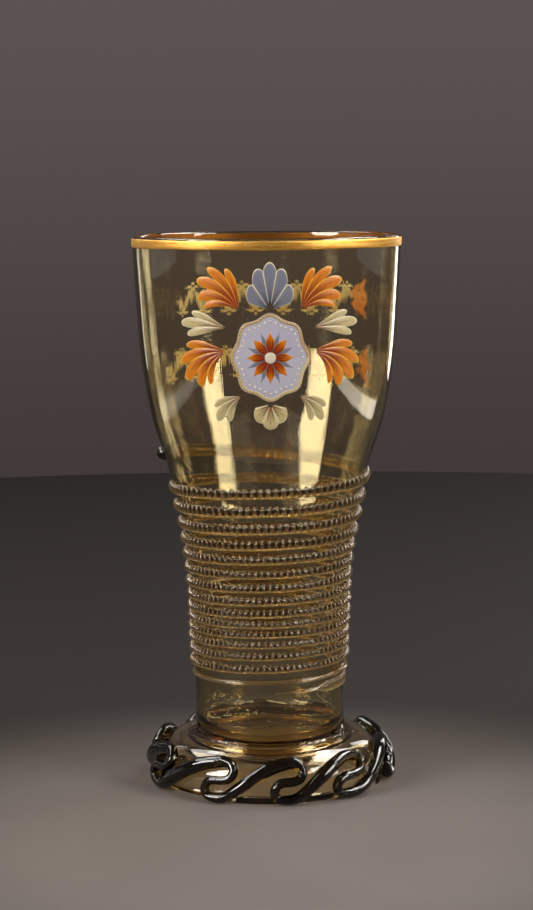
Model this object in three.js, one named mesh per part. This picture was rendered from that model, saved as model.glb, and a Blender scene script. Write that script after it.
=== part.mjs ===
// Blown glass beaker: a footed cup with a flared bowl, a milled glass thread
// wound down its waist, a running glass scroll round its foot, a gilt rim
// and fired enamel ornament. Millimetres, +Z up, the axis of the cup on Z,
// the table at z = 0 and the ornamented front towards -Y.
import * as THREE from 'three';

// Cup
const HEIGHT = 201.2;
const CUP_BASE = 13.8;
const WALL_OUTLINE = [
  [27.7, CUP_BASE],
  [27.6, 31],
  [28.25, 58],
  [29.4, 80],
  [32.3, 97.9],
  [37.15, 117.7],
  [42.5, 134.7],
  [46.35, 156.8],
  [48.2, 183],
  [49.15, HEIGHT],
];
const WALL_AT_WAIST = 2.2;
const WALL_AT_RIM = 1.6;
const WAIST_TOP = 60;
const BASE_CHAMFER = 0.7;
const FLOOR_HEIGHT = 17.0;
const FLOOR_DISH = 0.3;
const FLOOR_CORNER = 8;
const CUP_SIDES = 48;
const OUTSIDE_RINGS = 20;
const INSIDE_RINGS = 13;

// Foot
const FOOT_RADIUS = 42.3;
const SHOULDER_RADIUS = 30;
const SHOULDER_HEIGHT = 17.5;
const SKIRT_HEIGHT = 3.7;
const REST_OUTER = 41.6;
const FOOT_THICKNESS = 3.5;
const FOOT_CHAMFER = 0.7;
const COLLAR_DROP = 0.3;
const DOME_STEPS = 9;

// Clearance that parts one layer of glass from the next
const GAP = 0.3;

// Milled thread, which starts as a torn drop on the left and winds down
// clockwise; turns are counted from that drop
const THREAD_ROUTE = [
  [0, 121.0],
  [0.5, 113.0],
  [1, 109.0],
  [1.75, 104.0],
  [3.25, 94.4],
  [5.75, 80.7],
  [8.75, 66.3],
  [11.75, 54.8],
  [13.75, 45.9],
  [14.75, 40.8],
  [15.62, 37.4],
];
const THREAD_STEPS = 24;
const THREAD_SIDES = 6;
const THREAD_DEPTH = 2.0;
const THREAD_HALF_HEIGHT = 2.2;
const THREAD_NARROWING = 0.075;
const THREAD_LEAST_HALF = 1.45;
const DROP_TURNS = 0.03;
const DROP_DEPTH = 3.2;
const TAIL_START = 14.25;
const TAIL_HALF_HEIGHT = 0.7;
const SMEAR_START = 15.45;
const SMEAR_HALF_HEIGHT = 2.2;
const SMEAR_DEPTH = 1.0;

// Scroll trail: the crest of each wave by its angle from the front, turning
// to the right, and one wave as [share of the way to the next crest,
// distance down the foot from its shoulder, half width of the trail]
const CREST_ANGLES = [-105, -64, -24, 10, 43, 84, 120, 154, 188, 221];
const SCROLL_WAVE = [
  [-0.1, 10.75, 2.25],
  [0.02, 10.4, 2.1],
  [0.12, 11.3, 1.82],
  [0.172, 13.5, 1.68],
  [0.12, 15.7, 1.7],
  [0, 16.5, 1.7],
  [-0.115, 16.6, 1.7],
  [-0.21, 17.6, 1.65],
  [-0.25, 19.65, 1.6],
  [-0.205, 21.65, 1.65],
  [-0.085, 22.3, 1.75],
  [0.07, 21.7, 2],
  [0.25, 18.9, 2.3],
  [0.47, 15.2, 2.5],
  [0.7, 12.2, 2.45],
];
const SCROLL_SUBSTEPS = 2;
const SCROLL_SIDES = 6;
const SCROLL_HEIGHT_BASE = 1.5;
const SCROLL_HEIGHT_GAIN = 0.4;

// Gilding and enamel
const LAYER = 0.3;
const GILT_WIDTH = 4.0;
const FRONT = -90;
const BACK = 90;
const ORNAMENT_CENTRE = [1.0, 160.0];
const MEDALLION_RADII = [13.5, 15.0];
const MEDALLION_LOBES = 8;
const MEDALLION_WAVE = 0.045;
const PALMETTE = { base: 176.6, reach: 16.6, spread: 0.62, lobes: 5 };
const PENDANT = { base: 143.6, reach: -9.2, spread: 0.82, lobes: 3 };
const FAN_ROOT = 0.16;
const UPPER_LEAF = { root: [10.9, 176.2], aim: 63, opening: 96, reach: 20, lobes: 5, bend: -58 };
const UPPER_CURL = { root: [15.2, 170.2], aim: 14, opening: 58, reach: 18.5, lobes: 3, bend: -16 };
const LOWER_LEAF = { root: [15.4, 162.0], aim: -2, opening: 100, reach: 20.5, lobes: 5, bend: -62 };
const LOWER_TIP = { root: [10.2, 146.4], aim: -22, opening: 80, reach: 13, lobes: 3, bend: -46 };
const FROND_ROOT = 0.08;
const FROND_NOTCH = 0.3;
const FROND_ROUNDING = 0.7;
const FROND_SIDE_REACH = 0.62;
const FROND_ROOT_OPENING = 0.6;
const FROND_ROWS = 4;
const FROND_LOBE_STEPS = 4;
const VINE_UPPER = { middle: 175.5, from: -36.5, to: 39.5, waves: 7 };
const VINE_LOWER = { middle: 150.6, from: -40.5, to: 46.5, waves: 8 };
const VINE_SWING = 4.2;
const FLOURISH_REACH = 7.6;
const FLOURISH_WIDTH = 2.3;

function finish(color, roughness, metalness, opacity = 1) {
  const material = new THREE.MeshStandardMaterial({ color, roughness, metalness });
  material.transparent = opacity < 1;
  material.opacity = opacity;
  return material;
}

const clearGlass = finish(0x8f7a45, 0.05, 0, 0.35);
const heavyGlass = finish(0x6d5526, 0.05, 0, 0.5);
const gilding = finish(0xd9a441, 0.35, 1);
const orangeEnamel = finish(0xdd6a12, 0.45, 0);
const creamEnamel = finish(0xe0ca92, 0.5, 0);
const whiteEnamel = finish(0xcfc9d6, 0.5, 0);
const greyEnamel = finish(0x878894, 0.5, 0);

// Height-to-radius lookup along the outside of the cup
const wallCurve = new THREE.SplineCurve(WALL_OUTLINE.map(([r, z]) => new THREE.Vector2(r, z)));
const wallSamples = wallCurve.getPoints(400);

function wallRadius(z) {
  const last = wallSamples.length - 1;
  let above = wallSamples.findIndex((point) => point.y >= z);
  if (above < 0) above = last;
  above = Math.max(1, above);
  const [a, b] = [wallSamples[above - 1], wallSamples[above]];
  const share = THREE.MathUtils.clamp((z - a.y) / (b.y - a.y), 0, 1);
  return THREE.MathUtils.lerp(a.x, b.x, share);
}

function wallThickness(z) {
  const share = THREE.MathUtils.smoothstep(z, WAIST_TOP, HEIGHT);
  return THREE.MathUtils.lerp(WALL_AT_WAIST, WALL_AT_RIM, share);
}

// A node from bare vertices and faces, with its faces turned outwards
function solid(name, points, faces, material) {
  let volume = 0;
  for (const [a, b, c] of faces) {
    const normal = new THREE.Vector3().crossVectors(points[b], points[c]);
    volume += points[a].dot(normal);
  }
  const order = volume > 0 ? faces : faces.map(([a, b, c]) => [a, c, b]);
  const geometry = new THREE.BufferGeometry().setFromPoints(points);
  geometry.setIndex(order.flat());
  geometry.computeVertexNormals();
  return named(name, geometry, material);
}

function named(name, geometry, material) {
  const mesh = new THREE.Mesh(geometry, material);
  mesh.name = name;
  return mesh;
}

// Solid of revolution about Z from an outline of [radius, height] points
function turned(name, outline, material) {
  const profile = outline.map(([r, z]) => new THREE.Vector2(r, z));
  if (THREE.ShapeUtils.area(profile) < 0) profile.reverse();
  const geometry = new THREE.LatheGeometry(profile, CUP_SIDES);
  geometry.rotateX(Math.PI / 2);
  return named(name, geometry, material);
}

// Closes a tube made of rings of points, joining its ends or capping them
function tube(name, rings, material, joined) {
  const sides = rings[0].length;
  const points = rings.flat();
  const faces = [];
  const spans = joined ? rings.length : rings.length - 1;
  for (let i = 0; i < spans; i++) {
    const next = (i + 1) % rings.length;
    for (let j = 0; j < sides; j++) {
      const k = (j + 1) % sides;
      const [a, b] = [i * sides + j, i * sides + k];
      const [c, d] = [next * sides + j, next * sides + k];
      faces.push([a, b, d], [a, d, c]);
    }
  }
  if (!joined) {
    const end = (rings.length - 1) * sides;
    for (let j = 1; j < sides - 1; j++) {
      faces.push([0, j + 1, j], [end, end + j, end + j + 1]);
    }
  }
  return solid(name, points, faces, material);
}

function cup() {
  const outside = wallCurve.getPoints(OUTSIDE_RINGS).map(({ x, y }) => [x, y]);
  outside[0] = [WALL_OUTLINE[0][0] - BASE_CHAMFER, CUP_BASE];
  outside.splice(1, 0, [WALL_OUTLINE[0][0], CUP_BASE + BASE_CHAMFER]);
  const lip = outside.pop();
  const lipHalf = WALL_AT_RIM / 2;
  const lipMiddle = lip[0] - lipHalf;
  outside.push([lip[0], HEIGHT - lipHalf]);
  outside.push([lipMiddle + lipHalf * Math.SQRT1_2, HEIGHT - lipHalf * (1 - Math.SQRT1_2)]);
  outside.push([lipMiddle, HEIGHT]);
  outside.push([lipMiddle - lipHalf * Math.SQRT1_2, HEIGHT - lipHalf * (1 - Math.SQRT1_2)]);
  const inside = [];
  const lowest = FLOOR_HEIGHT + FLOOR_CORNER;
  for (let i = 0; i <= INSIDE_RINGS; i++) {
    const z = THREE.MathUtils.lerp(HEIGHT - lipHalf, lowest, i / INSIDE_RINGS);
    inside.push([wallRadius(z) - wallThickness(z), z]);
  }
  const cornerMiddle = inside[INSIDE_RINGS][0] - FLOOR_CORNER;
  for (const turn of [22.5, 45, 67.5, 90]) {
    const angle = THREE.MathUtils.degToRad(turn);
    inside.push([
      cornerMiddle + FLOOR_CORNER * Math.cos(angle),
      lowest - FLOOR_CORNER * Math.sin(angle),
    ]);
  }
  inside.push([cornerMiddle / 2, FLOOR_HEIGHT - FLOOR_DISH * 0.7]);
  inside.push([0, FLOOR_HEIGHT - FLOOR_DISH]);
  return turned('cup', [[0, CUP_BASE], ...outside, ...inside], clearGlass);
}

// Shoulder, dome and skirt of the foot, from the top down
const footCurve = new THREE.CurvePath();
const dome = new THREE.EllipseCurve(
  SHOULDER_RADIUS, SKIRT_HEIGHT,
  FOOT_RADIUS - SHOULDER_RADIUS, SHOULDER_HEIGHT - SKIRT_HEIGHT,
  Math.PI / 2, 0, true,
);
footCurve.add(dome);
footCurve.add(new THREE.LineCurve(
  new THREE.Vector2(FOOT_RADIUS, SKIRT_HEIGHT),
  new THREE.Vector2(FOOT_RADIUS, 0),
));

// A hollow dome round the base of the cup: the outside from the cup's wall
// down to the table, then back up one thickness further in
function foot() {
  const collar = WALL_OUTLINE[0][0] + GAP;
  const outline = [[collar, SHOULDER_HEIGHT - COLLAR_DROP]];
  for (const { x, y } of dome.getPoints(DOME_STEPS)) outline.push([x, y]);
  outline.push([FOOT_RADIUS, FOOT_CHAMFER], [REST_OUTER, 0]);
  outline.push([FOOT_RADIUS - FOOT_THICKNESS, 0]);
  const hollow = new THREE.EllipseCurve(
    SHOULDER_RADIUS, SKIRT_HEIGHT,
    FOOT_RADIUS - SHOULDER_RADIUS - FOOT_THICKNESS,
    SHOULDER_HEIGHT - SKIRT_HEIGHT - FOOT_THICKNESS,
    0, Math.PI / 2, false,
  );
  for (const { x, y } of hollow.getPoints(DOME_STEPS)) outline.push([x, y]);
  outline.push([collar, SHOULDER_HEIGHT - FOOT_THICKNESS], outline[0]);
  return turned('foot', outline, heavyGlass);
}

const threadRoute = new THREE.SplineCurve(
  THREAD_ROUTE.map(([turn, z]) => new THREE.Vector2(turn, z)),
);
const threadSamples = threadRoute.getPoints(600);

function threadHeight(turn) {
  const last = threadSamples.length - 1;
  let after = threadSamples.findIndex((point) => point.x >= turn);
  if (after < 0) after = last;
  after = Math.max(1, after);
  const [a, b] = [threadSamples[after - 1], threadSamples[after]];
  const share = THREE.MathUtils.clamp((turn - a.x) / (b.x - a.x), 0, 1);
  return THREE.MathUtils.lerp(a.y, b.y, share);
}

// Half height and depth of the thread at a turn
function threadSection(turn) {
  let half = Math.max(THREAD_HALF_HEIGHT - THREAD_NARROWING * turn, THREAD_LEAST_HALF);
  let depth = THREAD_DEPTH;
  if (turn < DROP_TURNS) depth = DROP_DEPTH;
  const tail = THREE.MathUtils.smoothstep(turn, TAIL_START, TAIL_START + 0.25);
  half = THREE.MathUtils.lerp(half, TAIL_HALF_HEIGHT, tail);
  const smear = THREE.MathUtils.smoothstep(turn, SMEAR_START, SMEAR_START + 0.1);
  half = THREE.MathUtils.lerp(half, SMEAR_HALF_HEIGHT, smear);
  depth = THREE.MathUtils.lerp(depth, SMEAR_DEPTH, Math.max(tail * 0.35, smear));
  return { half, depth };
}

// The thread's own sides: flat against the wall, bulging outwards
function threadRing(turn) {
  const { half, depth } = threadSection(turn);
  const angle = Math.PI - 2 * Math.PI * turn;
  const middle = threadHeight(turn);
  const chordDrop = wallRadius(middle) * (1 - Math.cos(Math.PI / THREAD_STEPS));
  const ring = [];
  for (let j = 0; j < THREAD_SIDES; j++) {
    const around = ((j + 0.5) * 2 * Math.PI) / THREAD_SIDES;
    const z = middle + half * Math.sin(around) / Math.cos(Math.PI / THREAD_SIDES) * 0.87;
    const out = depth * (0.5 + 0.5 * Math.cos(around) / Math.cos(Math.PI / THREAD_SIDES));
    const r = wallRadius(z) + GAP + chordDrop + out;
    ring.push(new THREE.Vector3(r * Math.cos(angle), r * Math.sin(angle), z));
  }
  return ring;
}

function milledThread() {
  const lastTurn = THREAD_ROUTE[THREAD_ROUTE.length - 1][0];
  const steps = Math.round(lastTurn * THREAD_STEPS);
  const rings = [];
  for (let i = 0; i <= steps; i++) rings.push(threadRing((i * lastTurn) / steps));
  console.log('least gap between turns of the thread, mm', leastGap(rings).toFixed(2));
  return tube('milled_thread', rings, heavyGlass, false);
}

// Least distance from the points of one turn to those of the next, with the
// middle of each edge counted as a point too
function leastGap(rings) {
  const dotted = rings.map((ring) => ring.flatMap((point, j) => {
    const next = ring[(j + 1) % ring.length];
    return [point, point.clone().lerp(next, 0.5)];
  }));
  let least = Infinity;
  dotted.forEach((ring, i) => {
    for (let k = i + THREAD_STEPS / 2; k < dotted.length; k++) {
      if (k > i + THREAD_STEPS * 1.5) break;
      for (const a of ring) {
        for (const b of dotted[k]) least = Math.min(least, a.distanceTo(b));
      }
    }
  });
  return least;
}

// Centre line and half width of the trail, as angle, distance and half width
function scrollRoute() {
  const waves = CREST_ANGLES.length;
  const crest = (i) => {
    const lap = Math.floor(i / waves);
    return CREST_ANGLES[i - lap * waves] + lap * 360;
  };
  const marks = [];
  for (let i = -1; i <= waves; i++) {
    const spacing = crest(i + 1) - crest(i);
    for (const [share, down, half] of SCROLL_WAVE) {
      marks.push(new THREE.Vector3(crest(i) + share * spacing, down, half));
    }
  }
  const curve = new THREE.CatmullRomCurve3(marks, false, 'catmullrom');
  const first = SCROLL_WAVE.length;
  const count = waves * SCROLL_WAVE.length * SCROLL_SUBSTEPS;
  const route = [];
  for (let i = 0; i < count; i++) {
    const mark = first + i / SCROLL_SUBSTEPS;
    route.push(curve.getPoint(mark / (marks.length - 1)));
  }
  return route;
}

// A place on the foot's outside, lifted off it, with the outward direction
function footPlace(degrees, down, lift) {
  const length = footCurve.getLength();
  const share = THREE.MathUtils.clamp(down / length, 0, 0.999);
  const spot = footCurve.getPoint(share);
  const ahead = footCurve.getPoint(Math.min(share + 0.001, 1));
  const slope = ahead.clone().sub(spot).normalize();
  const outward = new THREE.Vector2(-slope.y, slope.x);
  if (outward.x < 0) outward.negate();
  const angle = THREE.MathUtils.degToRad(FRONT + degrees);
  const turn = (v) => new THREE.Vector3(v.x * Math.cos(angle), v.x * Math.sin(angle), v.y);
  return { at: turn(spot.addScaledVector(outward, lift)), outward: turn(outward) };
}

function scrollTrail() {
  const route = scrollRoute();
  const places = route.map(({ x, y, z }) => {
    const high = SCROLL_HEIGHT_BASE + SCROLL_HEIGHT_GAIN * z;
    return { ...footPlace(x, y, high + GAP), half: z, high };
  });
  const count = places.length;
  const rings = places.map(({ at, outward, half, high }, i) => {
    const before = places[(i + count - 1) % count].at;
    const after = places[(i + 1) % count].at;
    const along = after.clone().sub(before).normalize();
    const across = new THREE.Vector3().crossVectors(along, outward).normalize();
    const up = new THREE.Vector3().crossVectors(across, along).normalize();
    const ring = [];
    for (let j = 0; j < SCROLL_SIDES; j++) {
      const around = (j * 2 * Math.PI) / SCROLL_SIDES;
      const point = at.clone();
      point.addScaledVector(across, half * Math.sin(around));
      point.addScaledVector(up, high * Math.cos(around));
      ring.push(point);
    }
    return ring;
  });
  return tube('scroll_trail', rings, heavyGlass, true);
}

// Gilding just under the lip, as a thin band outside the wall
function giltBand() {
  const near = (z) => wallRadius(z) + GAP;
  const top = HEIGHT - WALL_AT_RIM / 2;
  const bottom = HEIGHT - GILT_WIDTH;
  const outline = [
    [near(bottom), bottom],
    [near(bottom) + LAYER, bottom],
    [near(top) + LAYER, top],
    [near(top), top],
    [near(bottom), bottom],
  ];
  return turned('gilt_rim_band', outline, gilding);
}

// Puts a flat place, millimetres to the right and height, on the cup's wall
function onWall(side, [right, z], lift) {
  const reach = wallRadius(z);
  const angle = THREE.MathUtils.degToRad(side) + right / reach;
  const r = reach + lift;
  return new THREE.Vector3(r * Math.cos(angle), r * Math.sin(angle), z);
}

// Thin layer over a net of flat places: rows of columns, the columns joined
// into a ring when the layer is round
function layer(name, side, net, material, round = false) {
  const points = [];
  const wide = net[0].length;
  for (const lift of [GAP, GAP + LAYER]) {
    for (const row of net) for (const place of row) points.push(onWall(side, place, lift));
  }
  const shift = net.length * wide;
  const at = (i, j) => i * wide + (j % wide);
  const faces = [];
  const columns = round ? wide : wide - 1;
  for (let i = 0; i < net.length - 1; i++) {
    for (let j = 0; j < columns; j++) {
      const [a, b, c, d] = [at(i, j), at(i, j + 1), at(i + 1, j + 1), at(i + 1, j)];
      faces.push([a, c, d], [a + shift, d + shift, c + shift]);
      if (round && i === 0) continue;
      faces.push([a, b, c], [a + shift, c + shift, b + shift]);
    }
  }
  const rim = [];
  if (round) {
    for (let j = 0; j <= wide; j++) rim.push(at(net.length - 1, j));
  } else {
    for (let j = 0; j < wide; j++) rim.push(at(net.length - 1, j));
    for (let i = net.length - 2; i >= 0; i--) rim.push(i * wide + wide - 1);
    for (let j = wide - 2; j >= 0; j--) rim.push(at(0, j));
    for (let i = 1; i < net.length; i++) rim.push(i * wide);
  }
  for (let k = 0; k < rim.length - 1; k++) {
    const [a, b] = [rim[k], rim[k + 1]];
    faces.push([a, b + shift, a + shift], [a, b, b + shift]);
  }
  return solid(name, points, faces, material);
}

// Round net whose edge follows a rule of the angle
function roundNet([right, z], edge, spokes, rings) {
  const net = [];
  for (let i = 0; i <= rings; i++) {
    const row = [];
    for (let j = 0; j < spokes; j++) {
      const angle = (j * 2 * Math.PI) / spokes;
      const [a, b] = edge(angle);
      row.push([right + (a * i) / rings, z + (b * i) / rings]);
    }
    net.push(row);
  }
  return net;
}

function medallion() {
  const edge = (angle) => {
    const swell = 1 + MEDALLION_WAVE * Math.cos(MEDALLION_LOBES * angle);
    return [
      MEDALLION_RADII[0] * swell * Math.cos(angle),
      MEDALLION_RADII[1] * swell * Math.sin(angle),
    ];
  };
  const net = roundNet(ORNAMENT_CENTRE, edge, 32, 3);
  return layer('enamel_medallion', FRONT, net, whiteEnamel, true);
}

// Fan of lobes that opens upwards, or downwards when its reach is negative
function fan(name, { base, reach, spread, lobes }, material) {
  const rows = 3;
  const columns = lobes * 4;
  const net = [];
  for (let i = 0; i <= rows; i++) {
    const row = [];
    const out = THREE.MathUtils.lerp(FAN_ROOT, 1, i / rows);
    for (let j = 0; j <= columns; j++) {
      const angle = Math.PI * (0.06 + (0.88 * j) / columns);
      const lobe = 0.84 + 0.16 * Math.abs(Math.sin((lobes * Math.PI * j) / columns));
      const tall = 0.8 + 0.2 * Math.sin(angle);
      const far = Math.abs(reach) * out * lobe * tall;
      row.push([
        ORNAMENT_CENTRE[0] - far * spread * Math.cos(angle),
        base + Math.sign(reach) * far * Math.sin(angle),
      ]);
    }
    net.push(row);
  }
  return layer(name, FRONT, net, material);
}

// Frond of lobes that spread from a root and bend to one side; mirror is 1
// or -1
function frond(name, { root, aim, opening, reach, lobes, bend }, mirror, material) {
  const { degToRad, lerp } = THREE.MathUtils;
  const columns = lobes * FROND_LOBE_STEPS;
  const curve = degToRad(bend) / reach;
  const net = [];
  for (let i = 0; i <= FROND_ROWS; i++) {
    const out = lerp(FROND_ROOT, 1, i / FROND_ROWS);
    const row = [];
    for (let j = 0; j <= columns; j++) {
      const share = j / columns;
      const ripple = Math.abs(Math.sin(lobes * Math.PI * share)) ** FROND_ROUNDING;
      const lobe = 1 - FROND_NOTCH * (1 - ripple);
      const tall = lerp(FROND_SIDE_REACH, 1, Math.sin(Math.PI * share ** 1.25));
      const far = out * (lobe * out + 0.9 * (1 - out)) * tall;
      const angle = degToRad(opening) * (0.5 - share) * lerp(FROND_ROOT_OPENING, 1, far);
      const along = reach * far * Math.cos(angle);
      const across = reach * far * Math.sin(angle);
      const turn = curve * along;
      const place = new THREE.Vector2(
        Math.sin(turn) / curve - across * Math.sin(turn),
        (1 - Math.cos(turn)) / curve + across * Math.cos(turn),
      ).rotateAround(new THREE.Vector2(), degToRad(aim));
      row.push([ORNAMENT_CENTRE[0] + mirror * (root[0] + place.x), root[1] + place.y]);
    }
    net.push(row);
  }
  return layer(name, FRONT, net, material);
}

// Leaf along a bent rib, with scalloped sides, on the back of the bowl
function leaf(name, rib, halfWidth, lobes, material) {
  const [a, b, c, d] = rib.map(([right, z]) => new THREE.Vector2(right, z));
  const curve = new THREE.CubicBezierCurve(a, b, c, d);
  const steps = lobes * 3;
  const net = [];
  for (let i = 0; i <= steps; i++) {
    const share = i / steps;
    const spot = curve.getPoint(share);
    const along = curve.getTangent(share);
    const swell = 0.75 + 0.25 * Math.abs(Math.sin(lobes * Math.PI * share));
    const half = halfWidth * Math.max(0.12, Math.sin(Math.PI * share ** 0.8)) * swell;
    net.push([-1, 0, 1].map((across) => [
      spot.x + along.y * half * across,
      spot.y + along.x * half * across,
    ]));
  }
  return layer(name, BACK, net, material);
}

// Wavy stem with leaf swellings, running round the back of the bowl
function vine(name, { middle, from, to, waves }) {
  const steps = waves * 6;
  const net = [];
  for (let i = 0; i <= steps; i++) {
    const share = i / steps;
    const phase = 2 * Math.PI * waves * share;
    const right = THREE.MathUtils.lerp(from, to, share);
    const z = middle + VINE_SWING * Math.sin(phase);
    const half = 0.9 + 1.5 * Math.abs(Math.cos(phase)) ** 3;
    net.push([[right, z - half], [right, z + half]]);
  }
  return layer(name, BACK, net, creamEnamel);
}

function flourish(name, { middle, from }) {
  const right = from - 5.2;
  const rib = [
    [right - 1.5, middle - FLOURISH_REACH],
    [right + 3.5, middle - FLOURISH_REACH / 3],
    [right - 3.5, middle + FLOURISH_REACH / 3],
    [right + 1.5, middle + FLOURISH_REACH],
  ];
  return leaf(name, rib, FLOURISH_WIDTH, 3, orangeEnamel);
}

const beaker = new THREE.Group();
beaker.add(cup(), foot(), milledThread(), scrollTrail(), giltBand());
beaker.add(medallion());
beaker.add(fan('enamel_palmette', PALMETTE, greyEnamel));
beaker.add(fan('enamel_pendant', PENDANT, creamEnamel));
for (const [hand, mirror] of [['right', 1], ['left', -1]]) {
  beaker.add(frond(`enamel_upper_leaf_${hand}`, UPPER_LEAF, mirror, orangeEnamel));
  beaker.add(frond(`enamel_upper_curl_${hand}`, UPPER_CURL, mirror, creamEnamel));
  beaker.add(frond(`enamel_lower_leaf_${hand}`, LOWER_LEAF, mirror, orangeEnamel));
  beaker.add(frond(`enamel_lower_tip_${hand}`, LOWER_TIP, mirror, creamEnamel));
}
beaker.add(vine('enamel_vine_upper', VINE_UPPER), vine('enamel_vine_lower', VINE_LOWER));
beaker.add(flourish('enamel_flourish_upper', VINE_UPPER));
beaker.add(flourish('enamel_flourish_lower', VINE_LOWER));

export default beaker;
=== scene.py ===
"""Blown glass beaker, dressed for rendering.

A footed cup of brown-tinted glass with a flared bowl, a milled thread wound
round its waist, a running scroll round its foot, a gilt rim band and fired
enamel ornament. Sizes are in millimetres until a mesh is made from them, and
those of finishes and lamps are in metres.
"""

import logging
import math
from dataclasses import dataclass, field
from enum import Enum
from typing import Optional, Sequence, Union

import bpy
import numpy as np
from mathutils import Matrix, Vector


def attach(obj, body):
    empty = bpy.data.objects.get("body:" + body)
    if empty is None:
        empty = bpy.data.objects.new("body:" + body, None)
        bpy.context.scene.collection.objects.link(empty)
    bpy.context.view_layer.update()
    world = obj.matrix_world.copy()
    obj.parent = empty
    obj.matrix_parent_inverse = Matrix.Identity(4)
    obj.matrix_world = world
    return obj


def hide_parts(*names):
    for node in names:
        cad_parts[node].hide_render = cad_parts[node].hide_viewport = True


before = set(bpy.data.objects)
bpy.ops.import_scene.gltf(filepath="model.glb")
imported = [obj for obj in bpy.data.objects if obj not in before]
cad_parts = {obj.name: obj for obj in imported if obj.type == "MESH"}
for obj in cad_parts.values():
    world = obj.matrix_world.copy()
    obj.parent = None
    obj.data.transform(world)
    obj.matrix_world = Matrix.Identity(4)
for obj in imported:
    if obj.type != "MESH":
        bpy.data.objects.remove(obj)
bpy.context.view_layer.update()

MM = 0.001
MICRON = 0.000001
HEIGHT = 201.2
CUP_BASE = 13.8
LOG = logging.getLogger("beaker")

Colour = tuple[float, float, float, float]
Pair = tuple[float, float]
Value = Union[float, Sequence[float], bpy.types.NodeSocket]


class Side(Enum):
    """Which side of the cup an ornament is on, as the angle of its middle."""

    FRONT = -90.0
    BACK = 90.0


def srgb(red: int, green: int, blue: int) -> Colour:
    """Scene-linear colour of an eight-bit display colour.

    Args:
        red: Red, 0 to 255.
        green: Green, 0 to 255.
        blue: Blue, 0 to 255.

    Returns:
        The colour as linear red, green, blue and full alpha.
    """
    shares = [c / 255 for c in (red, green, blue)]
    linear = [s / 12.92 if s < 0.04045 else ((s + 0.055) / 1.055) ** 2.4 for s in shares]
    return (*linear, 1.0)


def smoothstep(value: np.ndarray, low: float, high: float) -> np.ndarray:
    """Eases from 0 at low to 1 at high."""
    share = np.clip((value - low) / (high - low), 0, 1)
    return share * share * (3 - 2 * share)


def catmull(marks: Sequence[Sequence[float]], steps: int) -> np.ndarray:
    """Points on the even Catmull-Rom curve through the marks.

    Args:
        marks: Rows of numbers; the first and the last row only steer the curve.
        steps: Points from one mark to the next.

    Returns:
        One row for each point, ending on the last but one mark.
    """
    rows = np.asarray(marks, float)
    before, near, far, after = rows[:-3], rows[1:-2], rows[2:-1], rows[3:]
    share = (np.arange(steps) / steps)[:, None, None]
    curve = 0.5 * (
        2 * near
        + (far - before) * share
        + (2 * before - 5 * near + 4 * far - after) * share**2
        + (3 * near - before - 3 * far + after) * share**3
    )
    points = curve.transpose(1, 0, 2).reshape(-1, rows.shape[1])
    return np.vstack([points, rows[-2]])


def open_curve(marks: Sequence[Sequence[float]], steps: int) -> np.ndarray:
    """Catmull-Rom curve through all the marks, from the first to the last."""
    return catmull([marks[0], *marks, marks[-1]], steps)


def even_angles(count: int) -> np.ndarray:
    """Angles of evenly spaced places round a circle."""
    return np.arange(count) * 2 * np.pi / count


def about_axis(radius: np.ndarray, angle: np.ndarray, height: np.ndarray) -> np.ndarray:
    """Points about the cup's axis, from their radius, angle and height."""
    return np.stack([radius * np.cos(angle), radius * np.sin(angle), height], -1)


def arc(centre: Pair, radii: Pair, start: float, end: float, count: int) -> np.ndarray:
    """Points along an elliptic arc.

    Args:
        centre: Radius and height of its centre.
        radii: Its half width and half height.
        start: Angle of its first point, in radians.
        end: Angle of its last point.
        count: How many points it has.

    Returns:
        Radius and height of each point.
    """
    turn = np.linspace(start, end, count)
    return np.array(centre) + np.array(radii) * np.stack([np.cos(turn), np.sin(turn)], -1)


@dataclass(frozen=True)
class Wave:
    """Sine wave, as one part of the unevenness that hand work leaves."""

    depth: float
    count: float
    phase: float = 0.0
    lean: float = 0.0

    def at(self, turn: np.ndarray, z: Union[float, np.ndarray] = 0.0) -> np.ndarray:
        """Its value at each place round or along a piece, leaning with the height."""
        return self.depth * np.sin(self.count * turn + self.lean * z + self.phase)


@dataclass(frozen=True)
class SwayingWave:
    """Sine wave whose crests follow another wave."""

    depth: float
    count: float
    sway: Wave

    def at(self, turn: np.ndarray, along: np.ndarray) -> np.ndarray:
        """Its value at each place, swaying with the way along."""
        return self.depth * np.sin(self.count * turn + self.sway.at(along))


def uneven(
    waves: Sequence[Union[Wave, SwayingWave]],
    turn: np.ndarray,
    z: Union[float, np.ndarray] = 0.0,
) -> np.ndarray:
    """Sum of several waves at each place."""
    return sum(wave.at(turn, z) for wave in waves)


@dataclass
class Body:
    """Points and faces of a closed mesh, in millimetres, with flat coordinates for its paint."""

    points: np.ndarray
    faces: list[list[int]]
    flat: Optional[np.ndarray] = None

    def faced_out(self) -> "Body":
        """Turns every face round if the faces look inwards.

        Returns:
            This body.
        """
        volume = 0.0
        for size in {len(face) for face in self.faces}:
            ring = self.points[np.array([f for f in self.faces if len(f) == size])]
            for k in range(1, size - 1):
                across = np.cross(ring[:, k], ring[:, k + 1])
                volume += float(np.einsum("ij,ij->", ring[:, 0], across))
        if volume < 0:
            self.faces = [face[::-1] for face in self.faces]
        return self

    @staticmethod
    def joined(bodies: Sequence["Body"]) -> "Body":
        """Puts several closed bodies into one mesh.

        Args:
            bodies: The bodies, each with flat coordinates or each without.

        Returns:
            One body with every point and face.
        """
        faces: list[list[int]] = []
        start = 0
        for body in bodies:
            faces += [[start + k for k in face] for face in body.faces]
            start += len(body.points)
        flat = None
        if bodies[0].flat is not None:
            flat = np.vstack([body.flat for body in bodies])
        return Body(np.vstack([body.points for body in bodies]), faces, flat)


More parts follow.
